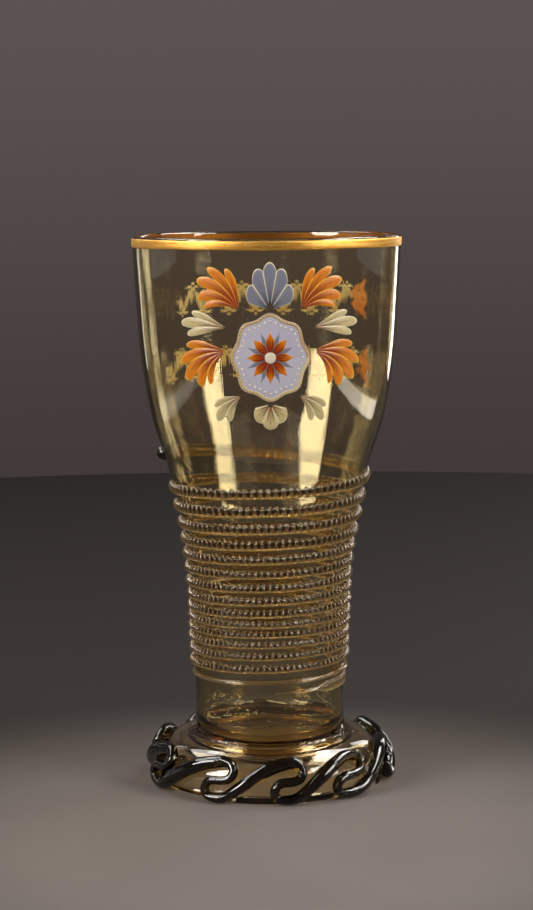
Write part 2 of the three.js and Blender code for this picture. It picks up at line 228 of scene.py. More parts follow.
def grid_faces(rows: int, columns: int, ring: bool, loop: bool = False) -> list[list[int]]:
    """Quads over a grid of points.

    Args:
        rows: Rows of the grid.
        columns: Points in each row.
        ring: True to join each row's last point to its first.
        loop: True to join the last row to the first.

    Returns:
        One list of four point numbers for each quad.
    """
    spans = columns if ring else columns - 1
    steps = rows if loop else rows - 1
    i, j = np.meshgrid(np.arange(steps), np.arange(spans), indexing="ij")
    k, n = (j + 1) % columns, (i + 1) % rows
    corners = [i * columns + j, i * columns + k, n * columns + k, n * columns + j]
    return np.stack(corners, -1).reshape(-1, 4).tolist()


def turned(outline: np.ndarray, segments: int, ripple: Optional[np.ndarray] = None) -> Body:
    """Solid of revolution about Z.

    Args:
        outline: Radius and height of each ring, its ends on the axis unless it closes.
        segments: Points round each ring.
        ripple: What is added to each ring's radius and height, as rings by segments by 2.

    Returns:
        The closed body.
    """
    poles = outline[0, 0] == 0
    rings = outline[1:-1] if poles else outline
    places = np.repeat(rings[:, None, :], segments, 1)
    if ripple is not None:
        places = places + (ripple[1:-1] if poles else ripple)
    angle = even_angles(segments)
    r, z = places[..., 0], places[..., 1]
    points = about_axis(r, angle, z).reshape(-1, 3)
    around = np.broadcast_to(angle / (2 * np.pi), r.shape)
    up = np.broadcast_to(np.linspace(0, 1, len(rings))[:, None], r.shape)
    flat = np.stack([around, up], -1).reshape(-1, 2)
    faces = grid_faces(len(rings), segments, True, not poles)
    if poles:
        first = len(points)
        last = (len(rings) - 1) * segments
        ends = [[0, 0, outline[0, 1]], [0, 0, outline[-1, 1]]]
        points = np.vstack([points, ends])
        flat = np.vstack([flat, [[0, 0], [0, 1]]])
        for j in range(segments):
            k = (j + 1) % segments
            faces.append([first, k, j])
            faces.append([first + 1, last + j, last + k])
    return Body(points, faces, flat).faced_out()


def swept(rings: np.ndarray, closed: bool) -> Body:
    """Tube through rings of points.

    Args:
        rings: Rings by points by 3.
        closed: True to join the last ring to the first, and False to cap both ends.

    Returns:
        The closed body.
    """
    count, sides = rings.shape[:2]
    faces = grid_faces(count, sides, True, closed)
    if not closed:
        faces.append(list(range(sides))[::-1])
        faces.append(list(range((count - 1) * sides, count * sides)))
    return Body(rings.reshape(-1, 3), faces).faced_out()


@dataclass(frozen=True)
class Wall:
    """Outside of the cup, as radius and height, which every layer and thread follows."""

    outline: tuple[tuple[float, float], ...] = (
        (27.7, CUP_BASE),
        (27.6, 31.0),
        (28.25, 58.0),
        (29.4, 80.0),
        (32.3, 97.9),
        (37.15, 117.7),
        (42.5, 134.7),
        (46.35, 156.8),
        (48.2, 183.0),
        (49.15, HEIGHT),
    )
    curve_steps: int = 40
    at_waist: float = 2.2
    at_rim: float = 1.6
    waist_top: float = 60.0

    def radius(self, z: np.ndarray) -> np.ndarray:
        """Outer radius at each height."""
        curve = open_curve(self.outline, self.curve_steps)
        return np.interp(z, curve[:, 1], curve[:, 0])

    def thickness(self, z: np.ndarray) -> np.ndarray:
        """Thickness of the glass at each height."""
        share = smoothstep(np.asarray(z, float), self.waist_top, HEIGHT)
        return self.at_waist + (self.at_rim - self.at_waist) * share


class Graph:
    """Adds shader nodes to a tree and joins them."""

    def __init__(self, tree: bpy.types.NodeTree) -> None:
        """Works in the given tree."""
        self.tree = tree

    def feed(self, socket: bpy.types.NodeSocket, value: Value) -> None:
        """Links a socket to an input, or sets its plain value.

        Args:
            socket: The input.
            value: A node's output, a number or a row of numbers.
        """
        if isinstance(value, bpy.types.NodeSocket):
            self.tree.links.new(value, socket)
        else:
            socket.default_value = value

    def feed_row(self, node: bpy.types.Node, first: int, *values: Value) -> None:
        """Feeds a node's inputs in order, from the given number on."""
        for number, value in enumerate(values, first):
            self.feed(node.inputs[number], value)

    def fill(self, node: bpy.types.Node, **inputs: Value) -> None:
        """Feeds a node's inputs by their names, with _ for each space in them."""
        for name, value in inputs.items():
            self.feed(node.inputs[name.replace("_", " ")], value)

    def add(self, kind: str, settings: Optional[dict] = None, **inputs: Value) -> bpy.types.Node:
        """Adds a node.

        Args:
            kind: Blender's name of the node type.
            settings: The node's own properties.
            **inputs: Values of its inputs, with _ for each space in their names.

        Returns:
            The new node.
        """
        node = self.tree.nodes.new(kind)
        for name, value in (settings or {}).items():
            setattr(node, name, value)
        self.fill(node, **inputs)
        return node

    def math(self, operation: str, a: Value, b: Value = 0.0, clamp: bool = False) -> Value:
        """Result of a Math node.

        Args:
            operation: Blender's name of the sum.
            a: First value.
            b: Second value.
            clamp: True to keep the result from 0 to 1.

        Returns:
            The node's output.
        """
        node = self.add("ShaderNodeMath", {"operation": operation, "use_clamp": clamp})
        self.feed_row(node, 0, a, b)
        return node.outputs[0]

    def plus(self, first: Value, *others: Value) -> Value:
        """Sum of two or more values."""
        for other in others:
            first = self.math("ADD", first, other)
        return first

    def minus(self, a: Value, b: Value) -> Value:
        """Difference of two values."""
        return self.math("SUBTRACT", a, b)

    def times(self, first: Value, *others: Value) -> Value:
        """Product of two or more values."""
        for other in others:
            first = self.math("MULTIPLY", first, other)
        return first

    def zigzag(self, value: Value) -> Value:
        """Falls from 1 at every whole number to 0 halfway to the next."""
        whole = self.minus(self.times(self.math("FRACT", value), 2.0), 1.0)
        return self.math("ABSOLUTE", whole)

    def ease(self, value: Value, low: Value, high: Value) -> Value:
        """Smooth step from 0 to 1.

        Args:
            value: What it follows.
            low: Where it starts.
            high: Where it ends.

        Returns:
            The node's output.
        """
        settings = {"interpolation_type": "SMOOTHSTEP"}
        node = self.add("ShaderNodeMapRange", settings, Value=value, From_Min=low, From_Max=high)
        return node.outputs["Result"]

    def ease_down(self, value: Value, low: Value, high: Value) -> Value:
        """Smooth step from 1 at low to 0 at high."""
        return self.minus(1.0, self.ease(value, low, high))

    def blend(self, share: Value, a: Value, b: Value) -> Value:
        """Colour between two others.

        Args:
            share: 0 for the first colour, 1 for the second.
            a: First colour.
            b: Second colour.

        Returns:
            The node's output.
        """
        node = self.add("ShaderNodeMix", {"data_type": "RGBA"})
        self.feed(node.inputs[0], share)
        self.feed_row(node, 6, a, b)
        return node.outputs[2]

    def mix_shaders(self, share: Value, a: bpy.types.Node, b: bpy.types.Node) -> Value:
        """Shader between two others.

        Args:
            share: 0 for the first shader, 1 for the second.
            a: First shader.
            b: Second shader.

        Returns:
            The node's output.
        """
        node = self.add("ShaderNodeMixShader")
        self.feed_row(node, 0, share, a.outputs[0], b.outputs[0])
        return node.outputs[0]

    def vector(self, x: Value, y: Value, z: Value = 0.0) -> Value:
        """Vector of three values."""
        return self.add("ShaderNodeCombineXYZ", X=x, Y=y, Z=z).outputs[0]

    def split(self, vector: Value) -> bpy.types.bpy_prop_collection:
        """Outputs X, Y and Z of a vector."""
        return self.add("ShaderNodeSeparateXYZ", Vector=vector).outputs

    def vector_math(self, operation: str, a: Value, b: Value, result: str = "Value") -> Value:
        """Result of a Vector Math node.

        Args:
            operation: Blender's name of the sum.
            a: First vector.
            b: Second vector.
            result: Name of the output that is wanted.

        Returns:
            The node's output.
        """
        node = self.add("ShaderNodeVectorMath", {"operation": operation})
        self.feed_row(node, 0, a, b)
        return node.outputs[result]

    def place(self) -> Value:
        """Place on the object, in metres."""
        return self.add("ShaderNodeTexCoord").outputs["Object"]

    def noise(self, where: Value, scale: float, detail: Value) -> Value:
        """Noise from 0 to 1."""
        return self.add("ShaderNodeTexNoise", Vector=where, Scale=scale, Detail=detail).outputs[0]

    def bump(self, height: Value, distance: float, strength: float = 1.0, **under: Value) -> Value:
        """Normal that follows a relief of the given depth in metres.

        Args:
            height: The relief, from 0 to 1.
            distance: Its depth.
            strength: How strongly it tells.
            **under: The Normal that it lies on, where there is one.

        Returns:
            The normal.
        """
        settings = {"Height": height, "Distance": distance, "Strength": strength}
        return self.add("ShaderNodeBump", None, **settings, **under).outputs[0]


@dataclass(frozen=True)
class Brush:
    """Habits of the enameller's brush, as shares of the lobe or leaf that it paints."""

    grain_along: float = 7.0
    grain_across: float = 26.0
    grain_detail: float = 3.0
    unevenness: float = 0.5
    side_lag: float = 0.35
    shade_blur: float = 0.3
    vein_fade: Pair = (0.55, 1.15)
    dry_grain: Pair = (0.3, 0.5)
    stroke_wander: float = 0.35
    stroke_fade: float = 0.35
    stroke_sides: Pair = (0.35, 0.75)
    stroke_strength: float = 0.85
    edge_blur: float = 0.07
    grain_relief: float = 0.6
    vein_relief: float = 0.4
    edge_relief: float = 0.5


class Effects:
    """Shader groups that several finishes share, each built once."""

    nearest_axis: float = 2 * MM

    def __init__(self) -> None:
        """Builds the groups."""
        self.streaks = self._streaks()
        self.brushed_enamel = self._brushed_enamel(Brush())

    @staticmethod
    def _group(
        name: str, inputs: dict[str, str], outputs: dict[str, str]
    ) -> tuple[Graph, bpy.types.bpy_prop_collection, bpy.types.Node]:
        """Starts a shader group.

        Args:
            name: The group's name.
            inputs: Name and kind of each input.
            outputs: Name and kind of each output.

        Returns:
            The group's graph, what its inputs give and its output node.
        """
        tree = bpy.data.node_groups.new(name, "ShaderNodeTree")
        for way, sockets in (("INPUT", inputs), ("OUTPUT", outputs)):
            for label, kind in sockets.items():
                tree.interface.new_socket(name=label, in_out=way, socket_type=f"NodeSocket{kind}")
        graph = Graph(tree)
        return graph, graph.add("NodeGroupInput").outputs, graph.add("NodeGroupOutput")

    def _streaks(self) -> bpy.types.NodeTree:
        """Noise wrapped round the axis of the cup, drawn out along it or round it.

        Returns:
            The group, with a value from 0 to 1.
        """
        inputs = dict.fromkeys(("Around", "Upright", "Detail", "Offset"), "Float")
        graph, given, result = self._group("Streaks", inputs, {"Value": "Float"})
        split = graph.split(graph.place())
        squares = [graph.times(split[axis], split[axis]) for axis in ("X", "Y")]
        away = graph.math("SQRT", graph.plus(*squares))
        reach = graph.math("MAXIMUM", away, self.nearest_axis)
        x, y = (graph.math("DIVIDE", split[axis], reach) for axis in ("X", "Y"))
        place = graph.vector(
            graph.times(x, given["Around"]),
            graph.times(y, given["Around"]),
            graph.plus(graph.times(split["Z"], given["Upright"]), given["Offset"]),
        )
        graph.fill(result, Value=graph.noise(place, 1.0, given["Detail"]))
        return graph.tree

    def _brushed_enamel(self, brush: Brush) -> bpy.types.NodeTree:
        """Hand-painted leaf: darker at its root, veined, with a lighter edge.

        The UV map gives the way along the leaf and the way across it.

        Args:
            brush: The brush that lays it on.

        Returns:
            The group, with a colour and a height for the relief.
        """
        inputs = dict.fromkeys(("Body", "Shade", "Line", "Edge"), "Color")
        for label in ("Shade Reach", "Veins", "Slant", "Line Width", "Line Strength"):
            inputs[label] = "Float"
        for label in ("Edge Start", "Strokes", "Stroke Reach"):
            inputs[label] = "Float"
        outputs = {"Color": "Color", "Height": "Float"}
        graph, given, result = self._group("Brushed enamel", inputs, outputs)
        split = graph.split(graph.add("ShaderNodeUVMap").outputs[0])
        along, across = split["X"], split["Y"]
        aside = graph.math("ABSOLUTE", graph.minus(graph.times(across, 2.0), 1.0))
        place = graph.vector(
            graph.times(along, brush.grain_along), graph.times(across, brush.grain_across)
        )
        grain = graph.noise(place, 1.0, brush.grain_detail)
        lean = graph.times(graph.minus(grain, 0.5), brush.unevenness)
        reach = graph.plus(along, graph.times(aside, brush.side_lag), lean)

        shade_reach = given["Shade Reach"]
        start = graph.minus(shade_reach, brush.shade_blur)
        end = graph.plus(shade_reach, brush.shade_blur)
        colour = graph.blend(graph.ease(reach, start, end), given["Shade"], given["Body"])

        phase = graph.minus(graph.times(along, given["Veins"]), graph.times(aside, given["Slant"]))
        near = graph.minus(1.0, graph.zigzag(phase))
        width = given["Line Width"]
        line = graph.ease_down(near, graph.times(width, 0.5), width)
        fade = graph.ease_down(reach, *brush.vein_fade)
        dry = graph.ease(grain, *brush.dry_grain)
        veins = graph.times(line, fade, dry, given["Line Strength"])
        colour = graph.blend(veins, colour, given["Line"])

        wander = graph.times(grain, brush.stroke_wander)
        ray = graph.zigzag(graph.plus(graph.times(aside, given["Strokes"]), wander))
        stop = given["Stroke Reach"]
        ends = graph.ease_down(reach, graph.minus(stop, brush.stroke_fade), stop)
        strength = graph.math("MINIMUM", given["Strokes"], brush.stroke_strength)
        rays = graph.times(graph.ease(ray, *brush.stroke_sides), ends, strength)
        colour = graph.blend(rays, colour, given["Line"])

        edge_start = given["Edge Start"]
        edge = graph.ease(aside, edge_start, graph.plus(edge_start, brush.edge_blur))
        height = graph.minus(
            graph.times(grain, brush.grain_relief), graph.times(veins, brush.vein_relief)
        )
        height = graph.plus(height, graph.times(edge, brush.edge_relief))
        graph.fill(result, Color=graph.blend(edge, colour, given["Edge"]), Height=height)
        return graph.tree


@dataclass(frozen=True)
class Finish:
    """Base of every finish: its name and a slot name, which nothing in this script reads."""

    name: str
    slot: str

    def start(self) -> tuple[Graph, bpy.types.Node, bpy.types.Node]:
        """Starts the material.

        Returns:
            Its graph, its Principled shader and its output node.
        """
        made = bpy.data.materials.new(self.name)
        made.use_nodes = True
        made.node_tree.nodes.clear()
        graph = Graph(made.node_tree)
        shader = graph.add("ShaderNodeBsdfPrincipled")
        output = graph.add("ShaderNodeOutputMaterial", Surface=shader.outputs[0])
        return graph, shader, output

    def material(self, effects: Effects) -> bpy.types.Material:
        """The finish's material, made on first use.

        Args:
            effects: The shared shader groups.

        Returns:
            The material.
        """
        if self.name not in bpy.data.materials:
            self.build(effects)
        return bpy.data.materials[self.name]

    def build(self, effects: Effects) -> None:
        """Makes the material's nodes; each kind of finish has its own."""
        raise NotImplementedError


@dataclass(frozen=True)
class Streaks:
    """Streaks drawn out in hot glass or brushed into gold, wrapped round the axis."""

    around: float
    upright: float
    detail: float = 3.0
    offset: float = 0.0

    def placed(self, graph: Graph, effects: Effects) -> Value:
        """Places the shared group in a material.

        Args:
            graph: The material's graph.
            effects: The shared shader groups.

        Returns:
            A value from 0 to 1.
        """
        group = graph.add(
            "ShaderNodeGroup",
            {"node_tree": effects.streaks},
            Around=self.around,
            Upright=self.upright,
            Detail=self.detail,
            Offset=self.offset,
        )
        return group.outputs[0]


@dataclass(frozen=True)
class Glass(Finish):
    """Brown-tinted blown glass, its colour held in its depth."""

    tint: Colour = (0.823, 0.656, 0.047, 1.0)
    density: float = 215.0
    skin: Colour = (1.0, 1.0, 1.0, 1.0)
    clearness: float = 1.0
    roughness: float = 0.0
    refraction: float = 1.5
    shine: float = 0.5
    let_through: Colour = (0.93, 0.93, 0.93, 1.0)
    streaks: Streaks = Streaks(60.0, 14.0)
    streak_depth: float = 12 * MICRON
    pucker_scale: float = 240.0
    pucker_detail: float = 2.0
    pucker_depth: float = 6 * MICRON

    def build(self, effects: Effects) -> None:
        """Makes the glass: drawn streaks, faint puckers and an absorbing depth.

        Args:
            effects: The shared shader groups.
        """
        graph, shader, output = self.start()
        drawn = graph.bump(self.streaks.placed(graph, effects), self.streak_depth)
        pucker = graph.noise(graph.place(), self.pucker_scale, self.pucker_detail)
        graph.fill(
            shader,
            Base_Color=self.skin_colour(graph),
            Roughness=self.roughness,
            IOR=self.refraction,
            Specular_IOR_Level=self.shine,
            Transmission_Weight=self.clearness,
            Normal=graph.bump(pucker, self.pucker_depth, Normal=drawn),
        )
        depth = graph.add("ShaderNodeVolumeAbsorption", Color=self.tint, Density=self.density)
        ray = graph.add("ShaderNodeLightPath").outputs
        passing = graph.math("MAXIMUM", ray["Is Shadow Ray"], ray["Is Diffuse Ray"])
        through = graph.add("ShaderNodeBsdfTransparent", Color=self.let_through)
        mixed = graph.mix_shaders(passing, shader, through)
        graph.fill(output, Surface=mixed, Volume=depth.outputs[0])

    def skin_colour(self, graph: Graph) -> Value:
        """The plain colour at the surface of the glass."""
        return self.skin


@dataclass(frozen=True)
class NotchedGlass(Glass):
    """Thick glass with painted shade darkening its notches and a painted highlight paling its
    lower lip.
    """

    # Colour of the painted shade in the notches and on the torn drop.
    notch: Colour = (0.03, 0.02, 0.01, 1.0)
    # Colour of the painted highlight along the lower lip.
    lip: Colour = (0.95, 0.78, 0.38, 1.0)
    notch_shade_blur: Pair = (0.02, 0.32)
    lip_highlight_blur: Pair = (0.35, 0.7)

    def skin_colour(self, graph: Graph) -> Value:
        """The colour, with painted shade from the notch depth and a painted highlight from the
        height that the paint map holds.

        Args:
            graph: The material's graph.

        Returns:
            The output that gives the colour.
        """
        paint = graph.add("ShaderNodeUVMap", {"uv_map": "paint"})
        split = graph.split(paint.outputs[0])
        # Painted highlight: the lower part of the thread is paled.
        lip = graph.ease(graph.times(split["Y"], -1.0), *self.lip_highlight_blur)
        colour = graph.blend(lip, self.skin, self.lip)
        # Painted shade: darkest where the paint map says a notch is deep.
        return graph.blend(graph.ease(split["X"], *self.notch_shade_blur), colour, self.notch)


@dataclass(frozen=True)
class Gilding(Finish):
    """Fired gold, brushed round the rim, rubbed thin in places, browner inside."""

    gold: Colour = srgb(255, 207, 108)
    deep: Colour = srgb(223, 156, 62)
    rubbed: Colour = srgb(160, 122, 78)
    inner: Colour = srgb(104, 66, 24)
    broad: Streaks = Streaks(3.0, 900.0)
    fine: Streaks = Streaks(22.0, 6000.0, 2.0, 9.0)
    wear: Streaks = Streaks(70.0, 1500.0, 4.0, 31.0)
    fine_share: float = 0.5
    tone_blur: Pair = (0.55, 0.95)
    wear_blur: Pair = (0.66, 0.74)
    roughness: float = 0.34
    fine_roughness: float = 0.25
    worn_roughness: float = 0.2
    scratch_depth: float = 20 * MICRON
    scratch_strength: float = 0.6

    def build(self, effects: Effects) -> None:
        """Makes the gold: streaks round the rim, rubbed spots and fine scratches.

        Args:
            effects: The shared shader groups.
        """
        graph, shader, _ = self.start()
        broad, fine, wear = (s.placed(graph, effects) for s in (self.broad, self.fine, self.wear))
        tone = graph.plus(broad, graph.times(fine, self.fine_share))
        colour = graph.blend(graph.ease(tone, *self.tone_blur), self.deep, self.gold)
        thin = graph.ease(wear, *self.wear_blur)
        colour = graph.blend(thin, colour, self.rubbed)
        colour = graph.blend(self.faces_in(graph), colour, self.inner)
        rough = graph.plus(
            graph.times(fine, self.fine_roughness),
            graph.times(thin, self.worn_roughness),
            self.roughness,
        )
        normal = graph.bump(fine, self.scratch_depth, self.scratch_strength)
        graph.fill(shader, Base_Color=colour, Metallic=1.0, Roughness=rough, Normal=normal)

    @staticmethod
    def faces_in(graph: Graph) -> Value:
        """Mask that is 1 where the gold faces the cup's axis.

        Args:
            graph: The material's graph.

        Returns:
            The output that gives the mask.
        """
        spot = graph.add("ShaderNodeTexCoord").outputs
        level = graph.vector_math("MULTIPLY", spot["Object"], (1.0, 1.0, 0.0), "Vector")
        facing = graph.vector_math("DOT_PRODUCT", level, spot["Normal"])
        return graph.math("LESS_THAN", facing, 0.0)


@dataclass(frozen=True)
class Enamel(Finish):
    """Fired enamel, laid on with a brush."""

    body: Colour = srgb(220, 195, 130)
    shade: Colour = srgb(200, 170, 110)
    line: Colour = srgb(120, 70, 40)
    edge: Colour = srgb(245, 232, 190)
    shade_reach: float = 0.45
    veins: float = 12.0
    slant: float = 2.0
    line_width: float = 0.3
    line_strength: float = 0.8
    edge_start: float = 0.86
    strokes: float = 0.0
    stroke_reach: float = 0.75
    roughness: float = 0.34
    grain_scale: float = 900.0
    grain_detail: float = 2.0
    grain_roughness: float = 0.16
    relief_depth: float = 60 * MICRON
    relief_strength: float = 0.7

    def build(self, effects: Effects) -> None:
        """Makes the enamel: brushed colour, veins and edge with a little relief.

        Args:
            effects: The shared shader groups.
        """
        graph, shader, _ = self.start()
        paint = graph.add(
            "ShaderNodeGroup",
            {"node_tree": effects.brushed_enamel},
            Body=self.body,
            Shade=self.shade,
            Line=self.line,
            Edge=self.edge,
            Shade_Reach=self.shade_reach,
            Veins=self.veins,
            Slant=self.slant,
            Line_Width=self.line_width,
            Line_Strength=self.line_strength,
            Edge_Start=self.edge_start,
            Strokes=self.strokes,
            Stroke_Reach=self.stroke_reach,
        ).outputs
        grain = graph.noise(graph.place(), self.grain_scale, self.grain_detail)
        smoothest = self.roughness - self.grain_roughness / 2
        rough = graph.plus(graph.times(grain, self.grain_roughness), smoothest)
        normal = graph.bump(paint["Height"], self.relief_depth, self.relief_strength)
        graph.fill(shader, Base_Color=paint["Color"], Roughness=rough, Normal=normal)


@dataclass(frozen=True)
class TableTop(Finish):
    """Plain pale table with a faint mottle and a painted pool of light that fades to painted shade
    behind the beaker.
    """

    pale: Colour = srgb(136, 127, 122)
    mottle: Colour = srgb(131, 122, 117)
    # Colour of the painted shade away from the painted pool of light.
    far: Colour = srgb(44, 38, 37)
    painted_pool_centre: tuple[float, float, float] = (0.0, -0.09, 0.0)
    painted_pool_reach: float = 0.06
    painted_falloff_reach: float = 0.22
    mottle_scale: float = 9.0
    mottle_detail: float = 5.0
    mottle_blur: Pair = (0.35, 0.65)
    roughness: float = 0.8
    shine: float = 0.15

    def build(self, effects: Effects) -> None:
        """Makes the table's matt, faintly mottled surface and its painted pool of light.

        Args:
            effects: The shared shader groups; not used here.
        """
        graph, shader, _ = self.start()
        where = graph.place()
        noise = graph.noise(where, self.mottle_scale, self.mottle_detail)
        colour = graph.blend(graph.ease(noise, *self.mottle_blur), self.mottle, self.pale)
        # Painted pool of light: fades to the painted shade colour with distance from a point in
        # front of the beaker.
        reach = graph.vector_math("DISTANCE", where, self.painted_pool_centre)
        colour = graph.blend(graph.ease(reach, self.painted_pool_reach, self.painted_falloff_reach), colour, self.far)
        graph.fill(
            shader, Base_Color=colour, Roughness=self.roughness, Specular_IOR_Level=self.shine
        )


class Workshop:
    """Turns bodies into pieces of the scene, dressed and riding on the frame."""

    def __init__(self) -> None:
        """Starts with no pieces."""
        self.effects = Effects()

    def piece(
        self, name: str, body: Body, finish: Finish, replaces: Sequence[str] = ()
    ) -> bpy.types.Object:
        """Makes one piece and reports it.

        Args:
            name: The piece's name.
            body: Its mesh in millimetres.
            finish: What it is made of.
            replaces: The CAD nodes that it stands for.

        Returns:
            The new object, riding on the beaker.
        """
        made = self.mesh_object(name, body, finish)
        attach(made, "root")
        if replaces:
            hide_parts(*replaces)
        LOG.info("%s: %d faces, %s", name, len(body.faces), finish.name)
        return made

    def mesh_object(self, name: str, body: Body, finish: Finish) -> bpy.types.Object:
        """Makes a smooth mesh object in metres.

        Args:
            name: The object's name.
            body: Its mesh in millimetres.
            finish: What it is made of.

        Returns:
            The new object, linked to the scene.
        """
        mesh = bpy.data.meshes.new(name)
        mesh.from_pydata((body.points * MM).tolist(), [], body.faces)
        mesh.polygons.foreach_set("use_smooth", [True] * len(mesh.polygons))
        if body.flat is not None:
            self.paint_map(mesh, body.flat)
        mesh.materials.append(finish.material(self.effects))
        made = bpy.data.objects.new(name, mesh)
        bpy.context.scene.collection.objects.link(made)
        return made

    @staticmethod
    def paint_map(mesh: bpy.types.Mesh, flat: np.ndarray) -> None:
        """Gives the mesh a UV map, with faces over a ring's seam carried on past 1.

        Args:
            mesh: The mesh.
            flat: Two numbers for each point, the first from 0 to 1 round a ring.
        """
        loops = np.zeros(len(mesh.loops), np.int32)
        mesh.loops.foreach_get("vertex_index", loops)
        owner = np.repeat(np.arange(len(mesh.polygons)), [len(p.vertices) for p in mesh.polygons])
        places = flat[loops].copy()
        widest = np.full(len(mesh.polygons), -np.inf)
        np.maximum.at(widest, owner, places[:, 0])
        over_the_seam = widest[owner] - places[:, 0] > 0.5
        places[over_the_seam, 0] += 1
        layer = mesh.uv_layers.new(name="paint")
        layer.data.foreach_set("uv", places.astype(np.float32).ravel())


CLEAR_GLASS = Glass("clear_blown_glass", "clear_glass")
HEAVY_GLASS = Glass(
    "heavy_foot_glass",
    "heavy_glass",
    tint=(0.84, 0.63, 0.125, 1.0),
    density=120.0,
    streak_depth=4 * MICRON,
    pucker_depth=3 * MICRON,
)
# Its notches get painted shade and its lower lip a painted highlight.
THREAD_GLASS = NotchedGlass(
    "milled_thread_glass",
    "trail_glass",
    tint=(0.7, 0.6, 0.4, 1.0),
    density=500.0,
    skin=(0.42, 0.29, 0.13, 1.0),
    clearness=0.78,
    roughness=0.12,
    shine=1.0,
    streaks=Streaks(30.0, 60.0),
    streak_depth=3 * MICRON,
    pucker_scale=400.0,
    pucker_depth=3 * MICRON,
)
# Painted shade: its absorption is far denser than the cup glass's, standing in for the dark
# surroundings that the thick trail refracts.
SCROLL_GLASS = Glass(
    "running_scroll_glass",
    "trail_glass",
    tint=(0.6, 0.53, 0.12, 1.0),
    density=1800.0,
    streaks=Streaks(30.0, 60.0),
    streak_depth=1 * MICRON,
    pucker_scale=150.0,
    pucker_depth=2 * MICRON,
)
GOLD = Gilding("fired_gold", "gilding")
ORANGE = Enamel(
    "painted_orange",
    "orange_enamel",
    body=srgb(242, 138, 10),
    shade=srgb(172, 54, 8),
    line=srgb(100, 30, 8),
    edge=srgb(255, 188, 60),
    shade_reach=0.62,
    line_strength=0.0,
    edge_start=0.84,
    strokes=1.6,
    stroke_reach=1.0,
)
CREAM = Enamel(
    "painted_cream",
    "cream_enamel",
    body=srgb(226, 204, 146),
    shade=srgb(150, 96, 58),
    line=srgb(96, 56, 34),
    edge=srgb(246, 232, 190),
    shade_reach=0.42,
    line_strength=0.0,
    edge_start=0.8,
    strokes=1.6,
    stroke_reach=0.95,
)
GREY = Enamel(
    "painted_grey",
    "grey_enamel",
    body=srgb(140, 140, 154),
    shade=srgb(92, 92, 102),
    line=srgb(48, 46, 52),
    edge=srgb(240, 226, 186),
    shade_reach=0.35,
    veins=22.0,
    slant=3.0,
    line_width=0.3,
    line_strength=0.5,
    edge_start=0.86,
    strokes=2.0,
    stroke_reach=0.7,
)
WHITE = Enamel(
    "painted_white",
    "white_enamel",
    body=srgb(208, 203, 218),
    shade=srgb(198, 192, 210),
    line=srgb(190, 184, 200),
    edge=srgb(120, 70, 40),
    line_strength=0.1,
    edge_start=0.975,
)
ROPE = Enamel(
    "painted_rope",
    "cream_enamel",
    body=srgb(236, 214, 160),
    shade=srgb(236, 214, 160),
    line=srgb(150, 82, 40),
    edge=srgb(110, 62, 34),
    veins=72.0,
    slant=1.2,
    line_width=0.62,
    line_strength=1.0,
    edge_start=0.82,
)
PEARL = Enamel(
    "painted_pearl",
    "cream_enamel",
    body=srgb(250, 238, 214),
    shade=srgb(244, 226, 196),
    line=srgb(244, 226, 196),
    edge=srgb(150, 92, 62),
    line_strength=0.0,
    edge_start=0.8,
)
# Orange enamel of the back flourishes: its lighter body is painted light, making up for the dimmer
# light behind the glass, and its plainer shading is the flourishes' own.
BRIGHTENED_ORANGE = Enamel(
    "painted_flourish_brightened",
    "orange_enamel",
    body=srgb(250, 158, 58),
    shade=srgb(236, 122, 38),
    line=srgb(190, 80, 24),
    edge=srgb(255, 190, 96),
    line_strength=0.2,
    edge_start=0.84,
)
# Painted light: cream enamel of the back vines, made lighter than the front's so that it makes up
# for the dimmer light behind the glass.
BRIGHTENED_CREAM = Enamel(
    "painted_stroke_brightened",
    "cream_enamel",
    body=srgb(251, 238, 204),
    shade=srgb(240, 220, 178),
    line=srgb(206, 176, 126),
    edge=srgb(242, 224, 184),
    veins=6.0,
    slant=2.0,
    line_strength=0.35,
    edge_start=0.9,
)
TABLE = TableTop("pale_table", "")


